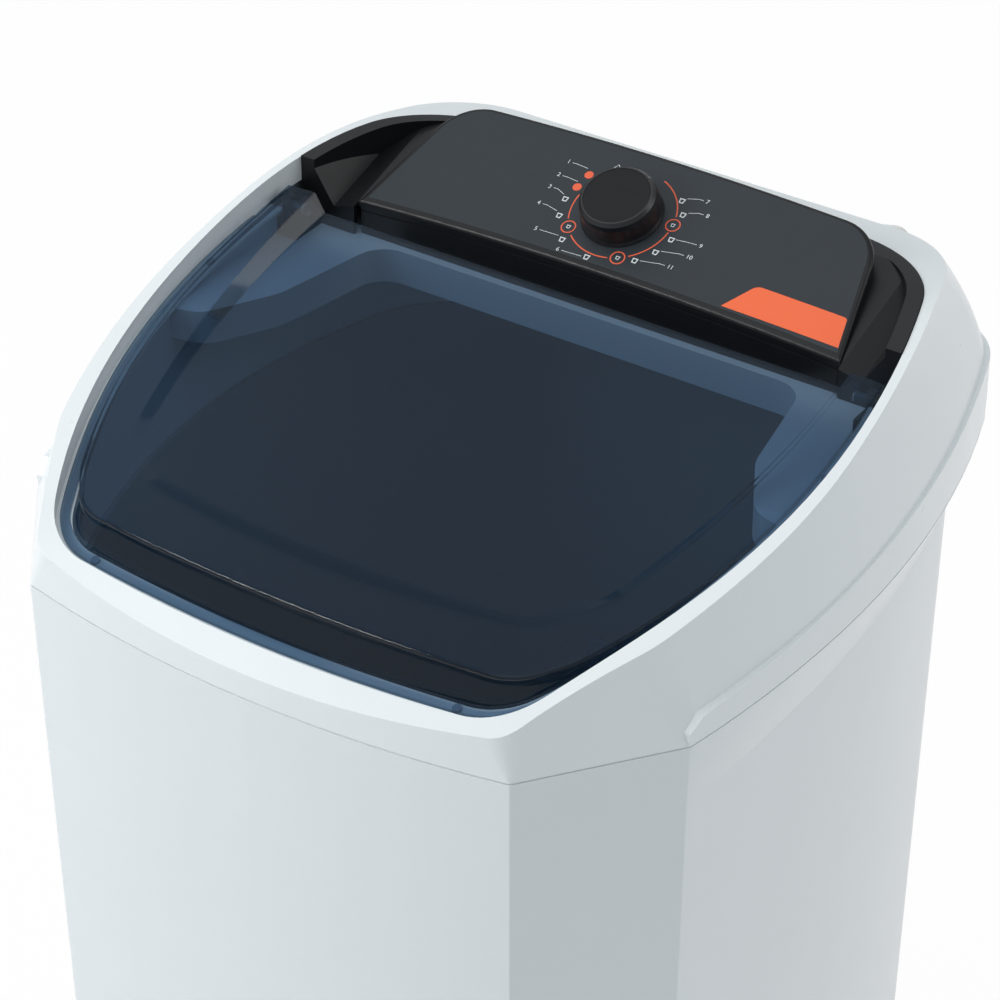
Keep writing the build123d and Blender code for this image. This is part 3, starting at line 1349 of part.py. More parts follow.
def filter_holder():
    half, rail = FILTER_W / 2, FILTER_RAIL
    deep = FILTER_T + 2 * SLIDE_GAP
    outer = block(-half - rail, half + rail, -rail, FILTER_H * 0.85, 0.3, deep + 3)
    room = block(-half - SLIDE_GAP, half + SLIDE_GAP, -SLIDE_GAP, FILTER_H, 2, deep + 0.3)
    window = block(-half + rail, half - rail, rail, FILTER_H, -1, deep + 9)
    return filter_place() * (outer - room - window)


def filter_frame():
    half = FILTER_W / 2
    low, high = 2 + SLIDE_GAP, 2 + SLIDE_GAP + FILTER_T - 2.5
    body = block(-half, half, 0, FILTER_H, low, high)
    body -= block(-half + FILTER_RIM, half - FILTER_RIM, FILTER_RIM, FILTER_H - 16, low - 1, high + 1)
    body += block(-14, 14, FILTER_H - 6, FILTER_H + 12, low, high)
    body -= block(-half + 4, half - 4, 4, FILTER_H - 12, (low + high) / 2 - 0.6, (low + high) / 2 + 0.6)
    return filter_place() * body


def filter_mesh():
    half = FILTER_W / 2
    middle = 2 + SLIDE_GAP + (FILTER_T - 2.5) / 2
    body = block(-half + 4.2, half - 4.2, 4.2, FILTER_H - 12.2, middle - 0.4, middle + 0.4)
    columns = int((FILTER_W - 2 * FILTER_RIM) / MESH_PITCH)
    rows = int((FILTER_H - 2 * FILTER_RIM - 12) / MESH_PITCH)
    spots = GridLocations(MESH_PITCH, MESH_PITCH, columns, rows).locations
    gaps = [spot * Rectangle(MESH_GAP, MESH_GAP) for spot in spots]
    grid = Pos(0, (FILTER_H - 8) / 2, 0) * extrude(Compound(gaps), amount=20)
    return filter_place() * (body - grid)


PARTS = {
    "cabinet": cabinet,
    "rear_access_panel": rear_access_panel,
    "cabinet_screws": cabinet_screws,
    "base_frame": base_frame,
    "top_cover": top_cover,
    "tub_collar": tub_collar,
    "tub_screws": tub_screws,
    "wash_tub": wash_tub,
    "drain_strainer": drain_strainer,
    "console_housing": console_housing,
    "console_screws": console_screws,
    "fascia_plate": fascia_plate,
    "badge_plate": badge_plate,
    "timer_body": timer_body,
    "timer_screws": timer_screws,
    "timer_shaft": timer_shaft,
    "timer_knob": timer_knob,
    "knob_cap": knob_cap,
    "lid": lid,
    "lid_hinge_pins": lid_hinge_pins,
    "lid_bumpers": lid_bumpers,
    "agitator": agitator,
    "agitator_screw": agitator_screw,
    "agitator_cap": agitator_cap,
    "drive_shaft": drive_shaft,
    "shaft_seal": shaft_seal,
    "shaft_bearings": shaft_bearings,
    "bearing_housing": bearing_housing,
    "bearing_housing_screws": bearing_housing_screws,
    "driven_pulley": driven_pulley,
    "pulley_nut": pulley_nut,
    "drive_belt": drive_belt,
    "motor_pulley": motor_pulley,
    "motor_shaft": motor_shaft,
    "motor_rotor": motor_rotor,
    "motor_stator": motor_stator,
    "motor_end_caps": motor_end_caps,
    "motor_bracket": motor_bracket,
    "bracket_bushes": bracket_bushes,
    "motor_screws": motor_screws,
    "capacitor": capacitor,
    "capacitor_clip": capacitor_clip,
    "drain_pipe": drain_pipe,
    "drain_spigot": drain_spigot,
    "hose_clamps": hose_clamps,
    "water_inlet": water_inlet,
    "inlet_nut": inlet_nut,
    "inlet_pipe": inlet_pipe,
    "cord_gland": cord_gland,
    "terminal_block": terminal_block,
    "wiring_loom": wiring_loom,
    "loom_clips": loom_clips,
    "filter_holder": filter_holder,
    "filter_frame": filter_frame,
    "filter_mesh": filter_mesh,
}

for name, build in PARTS.items():
    export_step(build(), f"parts/{name}.step")
for name, spot in FOOT_SPOTS.items():
    export_step(foot(spot), f"parts/{name}.step")
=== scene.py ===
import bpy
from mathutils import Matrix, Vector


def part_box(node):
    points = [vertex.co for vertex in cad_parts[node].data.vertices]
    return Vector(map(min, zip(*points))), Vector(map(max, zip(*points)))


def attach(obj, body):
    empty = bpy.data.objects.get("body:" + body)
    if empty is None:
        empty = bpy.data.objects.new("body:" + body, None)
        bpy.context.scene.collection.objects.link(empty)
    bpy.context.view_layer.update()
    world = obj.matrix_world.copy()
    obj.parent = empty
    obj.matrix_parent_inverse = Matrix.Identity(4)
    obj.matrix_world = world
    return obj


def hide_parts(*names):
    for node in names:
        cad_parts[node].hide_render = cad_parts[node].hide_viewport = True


bl_info = {
    "name": "Washing machine finishes",
    "version": (1, 0, 0),
    "blender": (4, 5, 0),
    "location": "View3D > Sidebar > Washer",
    "description": "Finishes, panel print and small fittings of a washing machine, and its studio",
    "category": "Object",
}

from math import cos, pi, radians, sin

import bpy
from mathutils import Matrix, Vector

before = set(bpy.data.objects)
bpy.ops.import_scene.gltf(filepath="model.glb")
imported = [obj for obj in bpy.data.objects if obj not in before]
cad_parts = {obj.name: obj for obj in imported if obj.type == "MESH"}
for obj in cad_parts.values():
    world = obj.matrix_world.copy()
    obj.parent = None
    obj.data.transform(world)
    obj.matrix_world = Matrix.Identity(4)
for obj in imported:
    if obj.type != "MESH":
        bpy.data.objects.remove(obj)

MM = 0.001
FIXED_BODY = "machine"
KNOB_BODY = "knob"

# Control panel: its front edge on the middle line, and its slope
PANEL_TILT = radians(24.0)
PANEL_FRONT = Vector((0.0, 0.121, 0.906))
PANEL = Matrix.Translation(PANEL_FRONT) @ Matrix.Rotation(PANEL_TILT, 4, "X")
RING_U = -4.0 * MM
RING_V = 49.5 * MM

# Print of the dial, in millimetres across and up the panel, and angles in degrees round the knob
RING_ARCS = ((17, 70), (173, 206), (229, 284), (306, 356))
BEAD_ANGLES = (217, 295, 6)
DOTS = ((-50.2, 60.2), (-47.5, 73.5))
SIGNS = (
    (-52.9, 47.0), (-49.0, 31.6), (-35.0, 12.5), (-9.0, 4.6),
    (31.7, 76.3), (39.0, 64.8), (42.4, 41.5), (37.2, 27.0), (26.6, 14.6),
)
LEADERS = (
    ((-51.5, 78.7), (-61.8, 79.7)), ((-52.5, 65.0), (-62.6, 66.1)), ((-56.2, 50.6), (-63.1, 53.6)),
    ((-53.0, 35.0), (-63.0, 37.3)), ((-39.6, 15.0), (-52.1, 14.8)), ((-13.1, 4.0), (-26.1, 3.6)),
    ((34.5, 79.5), (43.0, 82.2)), ((42.0, 67.9), (49.5, 70.6)), ((45.7, 42.9), (58.5, 44.2)),
    ((40.8, 29.5), (54.4, 32.2)), ((30.3, 16.0), (45.8, 19.0)),
)
START_MARK = ((-34.0, 84.5), (-30.5, 90.0), (-26.5, 85.5))

# Knob: its place, and the radius and height in millimetres of its bevel's two edges
KNOB = PANEL @ Matrix.Translation((RING_U, RING_V, 0.8 * MM))
BEVEL_LOW = (29.0, 18.4)
BEVEL_HIGH = (26.8, 21.0)

# Rear fittings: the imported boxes, and each seat and bore in millimetres
INLET_LOW, INLET_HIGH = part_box("water_inlet")
INLET_SEAT = 30.0
INLET_BORE = 8.0
SPIGOT_LOW, SPIGOT_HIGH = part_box("drain_spigot")
SPIGOT_SEAT = 32.0
SPIGOT_BORE = 9.5
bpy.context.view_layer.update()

# Faces of the lid that rise more steeply than this get painted shade: a darker colour and less light through
STEEP_SHADE_RISE = 0.7


def srgb(red, green, blue):
    """A colour given in 8-bit display values, as linear light."""
    shares = (red / 255, green / 255, blue / 255)
    return tuple(c / 12.92 if c <= 0.04045 else ((c + 0.055) / 1.055) ** 2.4 for c in shares)


def length(name, description, default):
    return bpy.props.FloatProperty(
        name=name, description=description, default=default, unit="LENGTH", precision=5)


def colour(name, description, default):
    return bpy.props.FloatVectorProperty(
        name=name, description=description, default=srgb(*default), size=3, subtype="COLOR",
        min=0.0, max=1.0)


class WasherSizes(bpy.types.PropertyGroup):
    ring_radius: length("Ring radius", "Middle radius of the printed ring round the knob", 41.0 * MM)
    ring_width: length("Ring width", "Width of the printed ring's line", 1.0 * MM)
    bead_radius: length("Bead radius", "Radius of the small circles on the ring", 5.4 * MM)
    dot_radius: length("Dot radius", "Radius of the two filled dots", 3.6 * MM)
    sign_size: length("Sign size", "Width of the small tub signs", 4.4 * MM)
    leader_width: length("Leader width", "Width of the fine lines that lead to the numbers", 0.4 * MM)
    leader_length: length("Leader length", "Length of each fine line's level end", 4.0 * MM)
    number_height: length("Number height", "Height of the numbers on the panel", 5.2 * MM)
    print_height: length("Print height", "How far the print stands above the plate", 0.06 * MM)
    thread_pitch: length("Thread pitch", "Pitch of the thread on the water inlet", 2.3 * MM)
    thread_depth: length("Thread depth", "Depth of the thread on the water inlet", 0.9 * MM)
    pointer_width: length("Pointer width", "Width of the knob's pointer", 1.1 * MM)
    barb_count: bpy.props.IntProperty(
        name="Barbs", description="Rings on the drain spigot", default=3, min=1, max=5)


class WasherColours(bpy.types.PropertyGroup):
    cabinet: colour("Cabinet", "Lacquered steel of the cabinet", (226, 232, 234))
    cover: colour("Top cover", "Moulded plastic of the top cover", (229, 235, 237))
    collar: colour("Collar", "Plastic round the tub mouth", (194, 208, 219))
    tub: colour("Tub", "Plastic of the wash tub", (118, 136, 148))
    console: colour("Console", "Plastic of the console", (19, 20, 22))
    fascia: colour("Fascia", "Lacquer of the panel plate", (34, 42, 49))
    badge: colour("Badge", "Lacquer of the small plate", (243, 106, 58))
    print_light: colour("Light print", "Ink of the numbers and lines", (214, 220, 222))
    print_warm: colour("Warm print", "Ink of the ring", (232, 98, 60))
    knob: colour("Knob", "Plastic of the knob", (24, 25, 28))
    pointer: colour("Pointer", "Inlay of the knob's pointer", (120, 124, 128))
    bumper: colour("Bumper", "Rubber of the bumpers under the lid", (150, 162, 174))
    lid_tint: colour("Lid tint", "What the lid lets through at each face", (206, 219, 230))
    lid_body: colour("Lid body", "What the lid itself scatters back", (26, 56, 80))


class Value:
    """A shader socket that takes part in arithmetic with other sockets and plain numbers."""

    def __init__(self, graph, socket):
        self.graph = graph
        self.socket = socket

    def __add__(self, other):
        return self.graph.math("ADD", self, other)

    def __sub__(self, other):
        return self.graph.math("SUBTRACT", self, other)

    def __rsub__(self, other):
        return self.graph.math("SUBTRACT", other, self)

    def __mul__(self, other):
        return self.graph.math("MULTIPLY", self, other)

    def __gt__(self, other):
        return self.graph.math("GREATER_THAN", self, other)

    __radd__ = __add__
    __rmul__ = __mul__


class Graph:
    """The node tree of one finish."""

    def __init__(self, name):
        self.material = bpy.data.materials.new(name)
        self.material.use_nodes = True
        self.tree = self.material.node_tree
        self.tree.nodes.clear()

    def node(self, kind, settings=None, inputs=None, output=0):
        """A new node: its settings first, then the values or links of its sockets."""
        made = self.tree.nodes.new(kind)
        for name, value in (settings or {}).items():
            setattr(made, name, value)
        for name, value in (inputs or {}).items():
            if isinstance(value, Value):
                self.tree.links.new(value.socket, made.inputs[name])
            else:
                made.inputs[name].default_value = value
        return Value(self, made.outputs[output])

    def math(self, operation, first, second):
        return self.node("ShaderNodeMath", {"operation": operation}, {0: first, 1: second})

    def place(self, scale=(1.0, 1.0, 1.0)):
        """Object coordinates, stretched by scale."""
        where = self.node("ShaderNodeTexCoord", output="Object")
        return self.node("ShaderNodeMapping", inputs={"Vector": where, "Scale": scale})

    def noise(self, where, scale, detail=2.0, roughness=0.5):
        inputs = {"Vector": where, "Scale": scale, "Detail": detail, "Roughness": roughness}
        return self.node("ShaderNodeTexNoise", inputs=inputs)

    def cells(self, where, scale, smooth=0.4):
        settings = {"feature": "SMOOTH_F1"}
        inputs = {"Vector": where, "Scale": scale, "Smoothness": smooth}
        return self.node("ShaderNodeTexVoronoi", settings, inputs)

    def axis(self, where, name):
        return self.node("ShaderNodeSeparateXYZ", inputs={"Vector": where}, output=name)

    def mix(self, share, first, second):
        settings = {"data_type": "RGBA"}
        inputs = {0: share, 6: (*first, 1.0), 7: (*second, 1.0)}
        return self.node("ShaderNodeMix", settings, inputs, output=2)

    def bump(self, height, distance, strength=1.0):
        inputs = {"Height": height, "Distance": distance, "Strength": strength}
        return self.node("ShaderNodeBump", inputs=inputs)

    def surface(self, shader):
        out = self.tree.nodes.new("ShaderNodeOutputMaterial")
        self.tree.links.new(shader.socket, out.inputs["Surface"])
        return self.material


def shaded(base, change):
    """A colour made lighter or darker by a share."""
    return tuple(min(1.0, max(0.0, c * (1 + change))) for c in base)


def moulded(name, base, roughness, grain=0.6, depth=0.02, spread=0.03, coat=0.0, stretch=(1, 1, 1)):
    """Moulded plastic or lacquer: grain of a size and depth in millimetres, and a slight cloud of colour."""
    g = Graph(name)
    where = g.place(stretch)
    cloud = g.noise(where, 6.0, 3.0)
    fine = g.noise(where, 1 / (grain * MM), 2.0)
    film = g.noise(where, 35.0, 4.0, 0.6)
    return g.surface(g.node("ShaderNodeBsdfPrincipled", inputs={
        "Base Color": g.mix(cloud, shaded(base, -spread), shaded(base, spread)),
        "Roughness": roughness + (film - 0.5) * 0.12,
        "Coat Weight": coat,
        "Coat Roughness": 0.08,
        "Normal": g.bump(fine, depth * MM),
    }))


def spark_grained(name, base, roughness, size=0.9, depth=0.05, gloss=0.5):
    """Plastic from a spark-eroded mould, with a fine matt pebble."""
    g = Graph(name)
    where = g.place()
    pebble = g.cells(where, 1 / (size * MM))
    cloud = g.noise(where, 9.0, 3.0)
    dust = g.noise(where, 60.0, 5.0, 0.65)
    return g.surface(g.node("ShaderNodeBsdfPrincipled", inputs={
        "Base Color": g.mix(cloud, shaded(base, -0.06), shaded(base, 0.08)),
        "Roughness": roughness + (dust - 0.5) * 0.15,
        "Specular IOR Level": gloss,
        "Normal": g.bump(pebble, depth * MM),
    }))


def brushed(name, base, roughness, stretch, spread=0.08):
    """Bare or plated metal with fine lines that run along one way."""
    g = Graph(name)
    where = g.place(stretch)
    lines = g.noise(where, 900.0, 3.0)
    stain = g.noise(g.place(), 40.0, 4.0, 0.6)
    return g.surface(g.node("ShaderNodeBsdfPrincipled", inputs={
        "Base Color": g.mix(stain, shaded(base, -spread), shaded(base, spread)),
        "Metallic": 1.0,
        "Roughness": roughness + (lines - 0.5) * 0.25,
        "Normal": g.bump(lines, 0.01 * MM),
    }))


def cast(name, base):
    """Sand-cast alloy, pitted and dull."""
    g = Graph(name)
    where = g.place()
    pits = g.cells(where, 520.0, 0.7)
    clouds = g.noise(where, 45.0, 4.0, 0.6)
    return g.surface(g.node("ShaderNodeBsdfPrincipled", inputs={
        "Base Color": g.mix(clouds, shaded(base, -0.15), shaded(base, 0.1)),
        "Metallic": 0.9,
        "Roughness": 0.45 + (clouds - 0.5) * 0.2,
        "Normal": g.bump(pits, 0.12 * MM),
    }))


def laminated(name, base):
    """A stack of thin iron sheets, varnished."""
    g = Graph(name)
    where = g.place()
    height = g.axis(where, "Z")
    ridge = g.node("ShaderNodeMath", {"operation": "SINE"}, {0: height * (2 * pi / (0.8 * MM))})
    varnish = g.noise(where, 70.0, 4.0)
    return g.surface(g.node("ShaderNodeBsdfPrincipled", inputs={
        "Base Color": g.mix(varnish, shaded(base, -0.2), shaded(base, 0.15)),
        "Metallic": 0.6,
        "Roughness": 0.4 + varnish * 0.15,
        "Normal": g.bump(ridge, 0.05 * MM),
    }))


def rubber(name, base, roughness=0.75):
    """Soft rubber with a fine bloom of dust."""
    g = Graph(name)
    where = g.place()
    bloom = g.noise(where, 120.0, 5.0, 0.7)
    skin = g.cells(where, 900.0)
    return g.surface(g.node("ShaderNodeBsdfPrincipled", inputs={
        "Base Color": g.mix(bloom, shaded(base, -0.1), shaded(base, 0.5)),
        "Roughness": roughness + (bloom - 0.5) * 0.2,
        "Sheen Weight": 0.1,
        "Normal": g.bump(skin, 0.03 * MM),
    }))


def smoked(name, tint, body):
    """Clear plastic with a blue-grey smoke: a share of gloss and haze, more of it where the face turns away,
    and the rest lets light through. Faces that rise steeply get painted shade: a darker body colour and a
    larger share of gloss."""
    g = Graph(name)
    where = g.place()
    ripple = g.noise(where, 18.0, 2.0)
    rise = g.axis(g.node("ShaderNodeTexCoord", output="Normal"), "Z")
    # Painted shade: faces that rise steeply get a darker body colour and a larger share of gloss, so less
    # light gets through
    steep_painted_shade = 1 - (g.math("ABSOLUTE", rise, 0.0) > STEEP_SHADE_RISE)
    gloss = g.node("ShaderNodeBsdfPrincipled", inputs={
        "Base Color": g.mix(steep_painted_shade, body, shaded(body, -0.8)),
        "IOR": 2.0,
        "Roughness": 0.03 + g.noise(where, 50.0, 4.0) * 0.03,
        "Normal": g.bump(ripple, 0.05 * MM),
    })
    clear = g.node("ShaderNodeBsdfTransparent", inputs={"Color": (*tint, 1.0)})
    turned_away = g.node("ShaderNodeLayerWeight", inputs={"Blend": 0.5}, output="Facing")
    share = 0.13 + g.math("POWER", turned_away, 4.0) * 0.8 + steep_painted_shade * 0.22
    return g.surface(g.node("ShaderNodeMixShader", inputs={0: share, 1: clear, 2: gloss}))


def finishes():
    """Every finish of the machine, by the name of its slot in the record."""
    c = bpy.context.scene.washer_colours
    steel = srgb(196, 198, 202)
    return {
        "cabinet_white": moulded("cabinet_lacquer", c.cabinet, 0.34, 2.2, 0.012, 0.012, 0.25),
        "cover_white": moulded("cover_plastic", c.cover, 0.3, 1.6, 0.008, 0.012, 0.3),
        "collar_grey": moulded("collar_plastic", c.collar, 0.4, 0.9, 0.02, 0.03),
        "tub_plastic": moulded("tub_plastic", c.tub, 0.45, 1.4, 0.05, 0.05, stretch=(1, 1, 0.12)),
        "console_black": spark_grained("console_plastic", c.console, 0.36, 0.8, 0.02, 0.35),
        "fascia_grey": spark_grained("fascia_lacquer", c.fascia, 0.5, 0.5, 0.012, 0.45),
        "badge_orange": moulded("badge_lacquer", c.badge, 0.4, 0.5, 0.01, 0.02),
        "knob_black": spark_grained("knob_plastic", c.knob, 0.34, 0.6, 0.003, 0.6),
        "cap_black": spark_grained("knob_cap_plastic", c.knob, 0.6, 0.5, 0.02, 0.25),
        "lid_smoke": smoked("lid_plastic", c.lid_tint, c.lid_body),
        "inner_plastic": moulded("inner_plastic", srgb(196, 200, 202), 0.5, 0.8, 0.03, 0.04),
        "dark_plastic": spark_grained("dark_plastic", srgb(38, 40, 44), 0.5),
        "pale_plastic": moulded("pale_plastic", srgb(222, 224, 220), 0.45, 0.7, 0.03, 0.04),
        "blue_plastic": moulded("blue_plastic", srgb(92, 126, 158), 0.38, 1.1, 0.03, 0.05),
        "black_rubber": rubber("black_rubber", srgb(28, 28, 30)),
        "steel": brushed("turned_steel", steel, 0.28, (1, 1, 12)),
        "zinc_steel": brushed("zinc_plate", srgb(190, 192, 188), 0.38, (3, 3, 3), 0.14),
        "cast_alloy": cast("cast_alloy", srgb(158, 160, 164)),
        "iron_core": laminated("iron_core", srgb(104, 92, 84)),
    }


def free_selection():
    for item in list(bpy.context.selected_objects):
        item.select_set(False)


def edit(obj):
    """Opens one object alone in edit mode with everything in it selected."""
    free_selection()
    bpy.context.view_layer.objects.active = obj
    obj.select_set(True)
    bpy.ops.object.mode_set(mode="EDIT")
    bpy.ops.mesh.select_all(action="SELECT")


def close_edit():
    bpy.ops.object.mode_set(mode="OBJECT")


def settle(obj, place=None):
    """Puts the object's place into its mesh, moved by place first."""
    if place is not None:
        obj.matrix_world = place @ obj.matrix_world
    free_selection()
    bpy.context.view_layer.objects.active = obj
    obj.select_set(True)
    bpy.ops.object.transform_apply(location=True, rotation=True, scale=True)
    return obj


def modify(obj, kind, **settings):
    """Adds one modifier and applies it."""
    free_selection()
    bpy.context.view_layer.objects.active = obj
    obj.select_set(True)
    made = obj.modifiers.new(kind.lower(), kind)
    for name, value in settings.items():
        setattr(made, name, value)
    bpy.ops.object.modifier_apply(modifier=made.name)


def joined(parts, name):
    """Several flat parts as one object."""
    free_selection()
    for part in parts:
        part.select_set(True)
    bpy.context.view_layer.objects.active = parts[0]
    if len(parts) > 1:
        bpy.ops.object.join()
    whole = bpy.context.view_layer.objects.active
    whole.name = name
    return whole


def node_finish(name):
    """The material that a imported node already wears."""
    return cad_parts[name].data.materials[0]


def dress(obj, material, body=FIXED_BODY):
    """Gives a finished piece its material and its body."""
    obj.data.materials.clear()
    obj.data.materials.append(material)
    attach(obj, body)
    return obj


def on_ring(radius, angle):
    """A point on the printed ring's middle line, its angle in degrees from the right side."""
    return RING_U + radius * cos(radians(angle)), RING_V + radius * sin(radians(angle))


def flat_ring(x, y, radius, width, start=0, stop=360, steps=96):
    """A flat ring, or the part of one between two angles."""
    whole = stop - start >= 360
    bpy.ops.mesh.primitive_plane_add(size=1, location=(0, 0, 0))
    ring = bpy.context.object
    edit(ring)
    bpy.ops.transform.resize(value=(width, 0, 1), center_override=(0, 0, 0))
    bpy.ops.mesh.remove_doubles(threshold=width * 0.01)
    bpy.ops.mesh.delete(type="ONLY_FACE")
    close_edit()
    turn = Matrix.Rotation(radians(start), 4, "Z")
    settle(ring, Matrix.Translation((x, y, 0)) @ turn @ Matrix.Translation((radius, 0, 0)))
    edit(ring)
    count = max(8, round(steps * (stop - start) / 360))
    bpy.ops.mesh.spin(
        steps=count, dupli=False, angle=-radians(min(stop - start, 360)), center=(x, y, 0), axis=(0, 0, 1))
    bpy.ops.mesh.select_all(action="SELECT")
    if whole:
        bpy.ops.mesh.remove_doubles(threshold=width * 0.05)
    close_edit()
    return ring


def flat_strip(start, end, width):
    """A thin flat line between two points."""
    (x0, y0), (x1, y1) = start, end
    run = Vector((x1 - x0, y1 - y0, 0))
    bpy.ops.mesh.primitive_plane_add(size=1, location=((x0 + x1) / 2, (y0 + y1) / 2, 0))
    strip = bpy.context.object
    strip.scale = (run.length, width, 1)
    strip.rotation_euler = (0, 0, Vector((1, 0)).angle_signed(run.to_2d()) * -1)
    return settle(strip)


def flat_tub(x, y, size):
    """A small sign in the shape of a filled tub, wider at its top."""
    bpy.ops.mesh.primitive_plane_add(size=size, location=(x, y, 0))
    sign = settle(bpy.context.object)
    edit(sign)
    bpy.ops.mesh.inset(thickness=size * 0.2)
    bpy.ops.mesh.delete(type="FACE")
    close_edit()
    for vertex in sign.data.vertices:
        low = vertex.co.y < y
        vertex.co.x = x + (vertex.co.x - x) * (0.8 if low else 1.1)
    return sign


def flat_number(text, x, y, height, align):
    bpy.ops.object.text_add(location=(x, y, 0))
    number = bpy.context.object
    number.data.body = text
    number.data.size = height
    number.data.align_x = align
    number.data.align_y = "CENTER"
    number.data.resolution_u = 3
    bpy.ops.object.convert(target="MESH")
    return settle(bpy.context.object)


def lay_on_panel(obj):
    """Moves a flat print to the panel, bends it over the crowned plate and gives it thickness."""
    height = bpy.context.scene.washer_sizes.print_height
    edit(obj)
    bpy.ops.mesh.remove_doubles(threshold=0.005 * MM)
    bpy.ops.mesh.normals_make_consistent(inside=False)
    close_edit()
    settle(obj, PANEL @ Matrix.Translation((0, 0, 2 * MM)))
    modify(
        obj, "SHRINKWRAP", target=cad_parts["fascia_plate"], wrap_method="NEAREST_SURFACEPOINT",
        wrap_mode="ABOVE_SURFACE", offset=height)
    up = PANEL.to_3x3() @ Vector((0, 0, 1))
    outward = sum(face.normal.dot(up) * face.area for face in obj.data.polygons) > 0
    modify(obj, "SOLIDIFY", thickness=height * 0.8, offset=-1.0 if outward else 1.0)
    edit(obj)
    bpy.ops.mesh.normals_make_consistent(inside=False)
    close_edit()
    return obj


def turned(points, steps=64):
    """A closed ring of revolution about Z from (radius, height) points in millimetres."""
    radius, height = points[0]
    bpy.ops.mesh.primitive_circle_add(vertices=steps, radius=radius * MM, location=(0, 0, height * MM))
    obj = bpy.context.object
    settle(obj)
    edit(obj)
    for next_radius, next_height in points[1:] + points[:1]:
        rise = (0, 0, (next_height - height) * MM)
        bpy.ops.mesh.extrude_region_move(TRANSFORM_OT_translate={"value": rise})
        grow = next_radius / radius
        bpy.ops.transform.resize(value=(grow, grow, 1), center_override=(0, 0, next_height * MM))
        radius, height = next_radius, next_height
    bpy.ops.mesh.select_all(action="SELECT")
    bpy.ops.mesh.remove_doubles(threshold=0.01 * MM)
    bpy.ops.mesh.normals_make_consistent(inside=False)
    close_edit()
    return obj


def helix(radius, low, high, pitch, depth):
    """A ridge that winds about Z from low to high, all in millimetres."""
    bpy.ops.mesh.primitive_circle_add(
        vertices=4, radius=depth * MM, location=(radius * MM, 0, low * MM), rotation=(pi / 2, 0, 0))
    ridge = settle(bpy.context.object)
    turns = int((high - low) / pitch)
    modify(ridge, "SCREW", axis="Z", screw_offset=pitch * MM, iterations=turns, steps=48, render_steps=48)
    edit(ridge)
    bpy.ops.mesh.remove_doubles(threshold=0.01 * MM)
    bpy.ops.mesh.fill_holes(sides=4)
    bpy.ops.mesh.select_all(action="SELECT")
    bpy.ops.mesh.normals_make_consistent(inside=False)
    close_edit()
    return ridge


def rearward(low, high):
    """The place of a fitting whose Z runs backwards from the front end of a node's box."""
    middle = (Vector(low) + Vector(high)) / 2
    return Matrix.Translation((middle.x, low[1], middle.z)) @ Matrix.Rotation(-pi / 2, 4, "X")


def smooth(obj, angle=35):
    free_selection()
    bpy.context.view_layer.objects.active = obj
    obj.select_set(True)
    bpy.ops.object.shade_smooth_by_angle(angle=radians(angle))
    return obj


class WASHER_OT_camera(bpy.types.Operator):
    """Place the camera at the viewing angle of the reference picture"""

    bl_idname = "washer.camera"
    bl_label = "Camera"

    def execute(self, context):
        azimuth, elevation = radians(33.844), radians(33.877)
        ahead = Vector((-sin(azimuth) * cos(elevation), cos(azimuth) * cos(elevation), -sin(elevation)))
        data = bpy.data.cameras.new("camera")
        data.lens = 127.1
        data.sensor_width = 36.0
        camera = bpy.data.objects.new("camera", data)
        camera.location = (1.1846, -1.7679, 2.1964)
        camera.rotation_mode = "QUATERNION"
        camera.rotation_quaternion = ahead.to_track_quat("-Z", "Y")
        context.scene.collection.objects.link(camera)
        context.scene.camera = camera
        return {"FINISHED"}


class WASHER_OT_finishes(bpy.types.Operator):
    """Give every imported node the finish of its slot"""

    bl_idname = "washer.finishes"
    bl_label = "Finishes"

    def execute(self, context):
        made = finishes()
        for name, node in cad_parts.items():
            slot = node.data.materials[0].name.split(".")[0]
            if slot not in made:
                raise RuntimeError(f"no finish for slot {slot} of {name}")
            node.data.materials[0] = made[slot]
        bumper = rubber("bumper_rubber", context.scene.washer_colours.bumper, 0.5)
        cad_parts["lid_bumpers"].data.materials[0] = bumper
        return {"FINISHED"}


class WASHER_OT_dial_ring(bpy.types.Operator):
    """Print the broken ring, its small circles and the two filled dots round the knob"""

    bl_idname = "washer.dial_ring"
    bl_label = "Dial ring"

    def execute(self, context):
        sizes = context.scene.washer_sizes
        radius, width = sizes.ring_radius, sizes.ring_width
        parts = [flat_ring(RING_U, RING_V, radius, width, start, stop) for start, stop in RING_ARCS]
        for angle in BEAD_ANGLES:
            x, y = on_ring(radius, angle)
            parts.append(flat_ring(x, y, sizes.bead_radius, width, steps=48))
        for u, v in DOTS:
            parts.append(flat_ring(u * MM, v * MM, sizes.dot_radius * 0.5, sizes.dot_radius * 0.96, steps=32))
        ring = lay_on_panel(joined(parts, "dial_ring"))
        ink = moulded("warm_ink", context.scene.washer_colours.print_warm, 0.5, 0.3, 0.005, 0.04)
        dress(ring, ink)
        return {"FINISHED"}


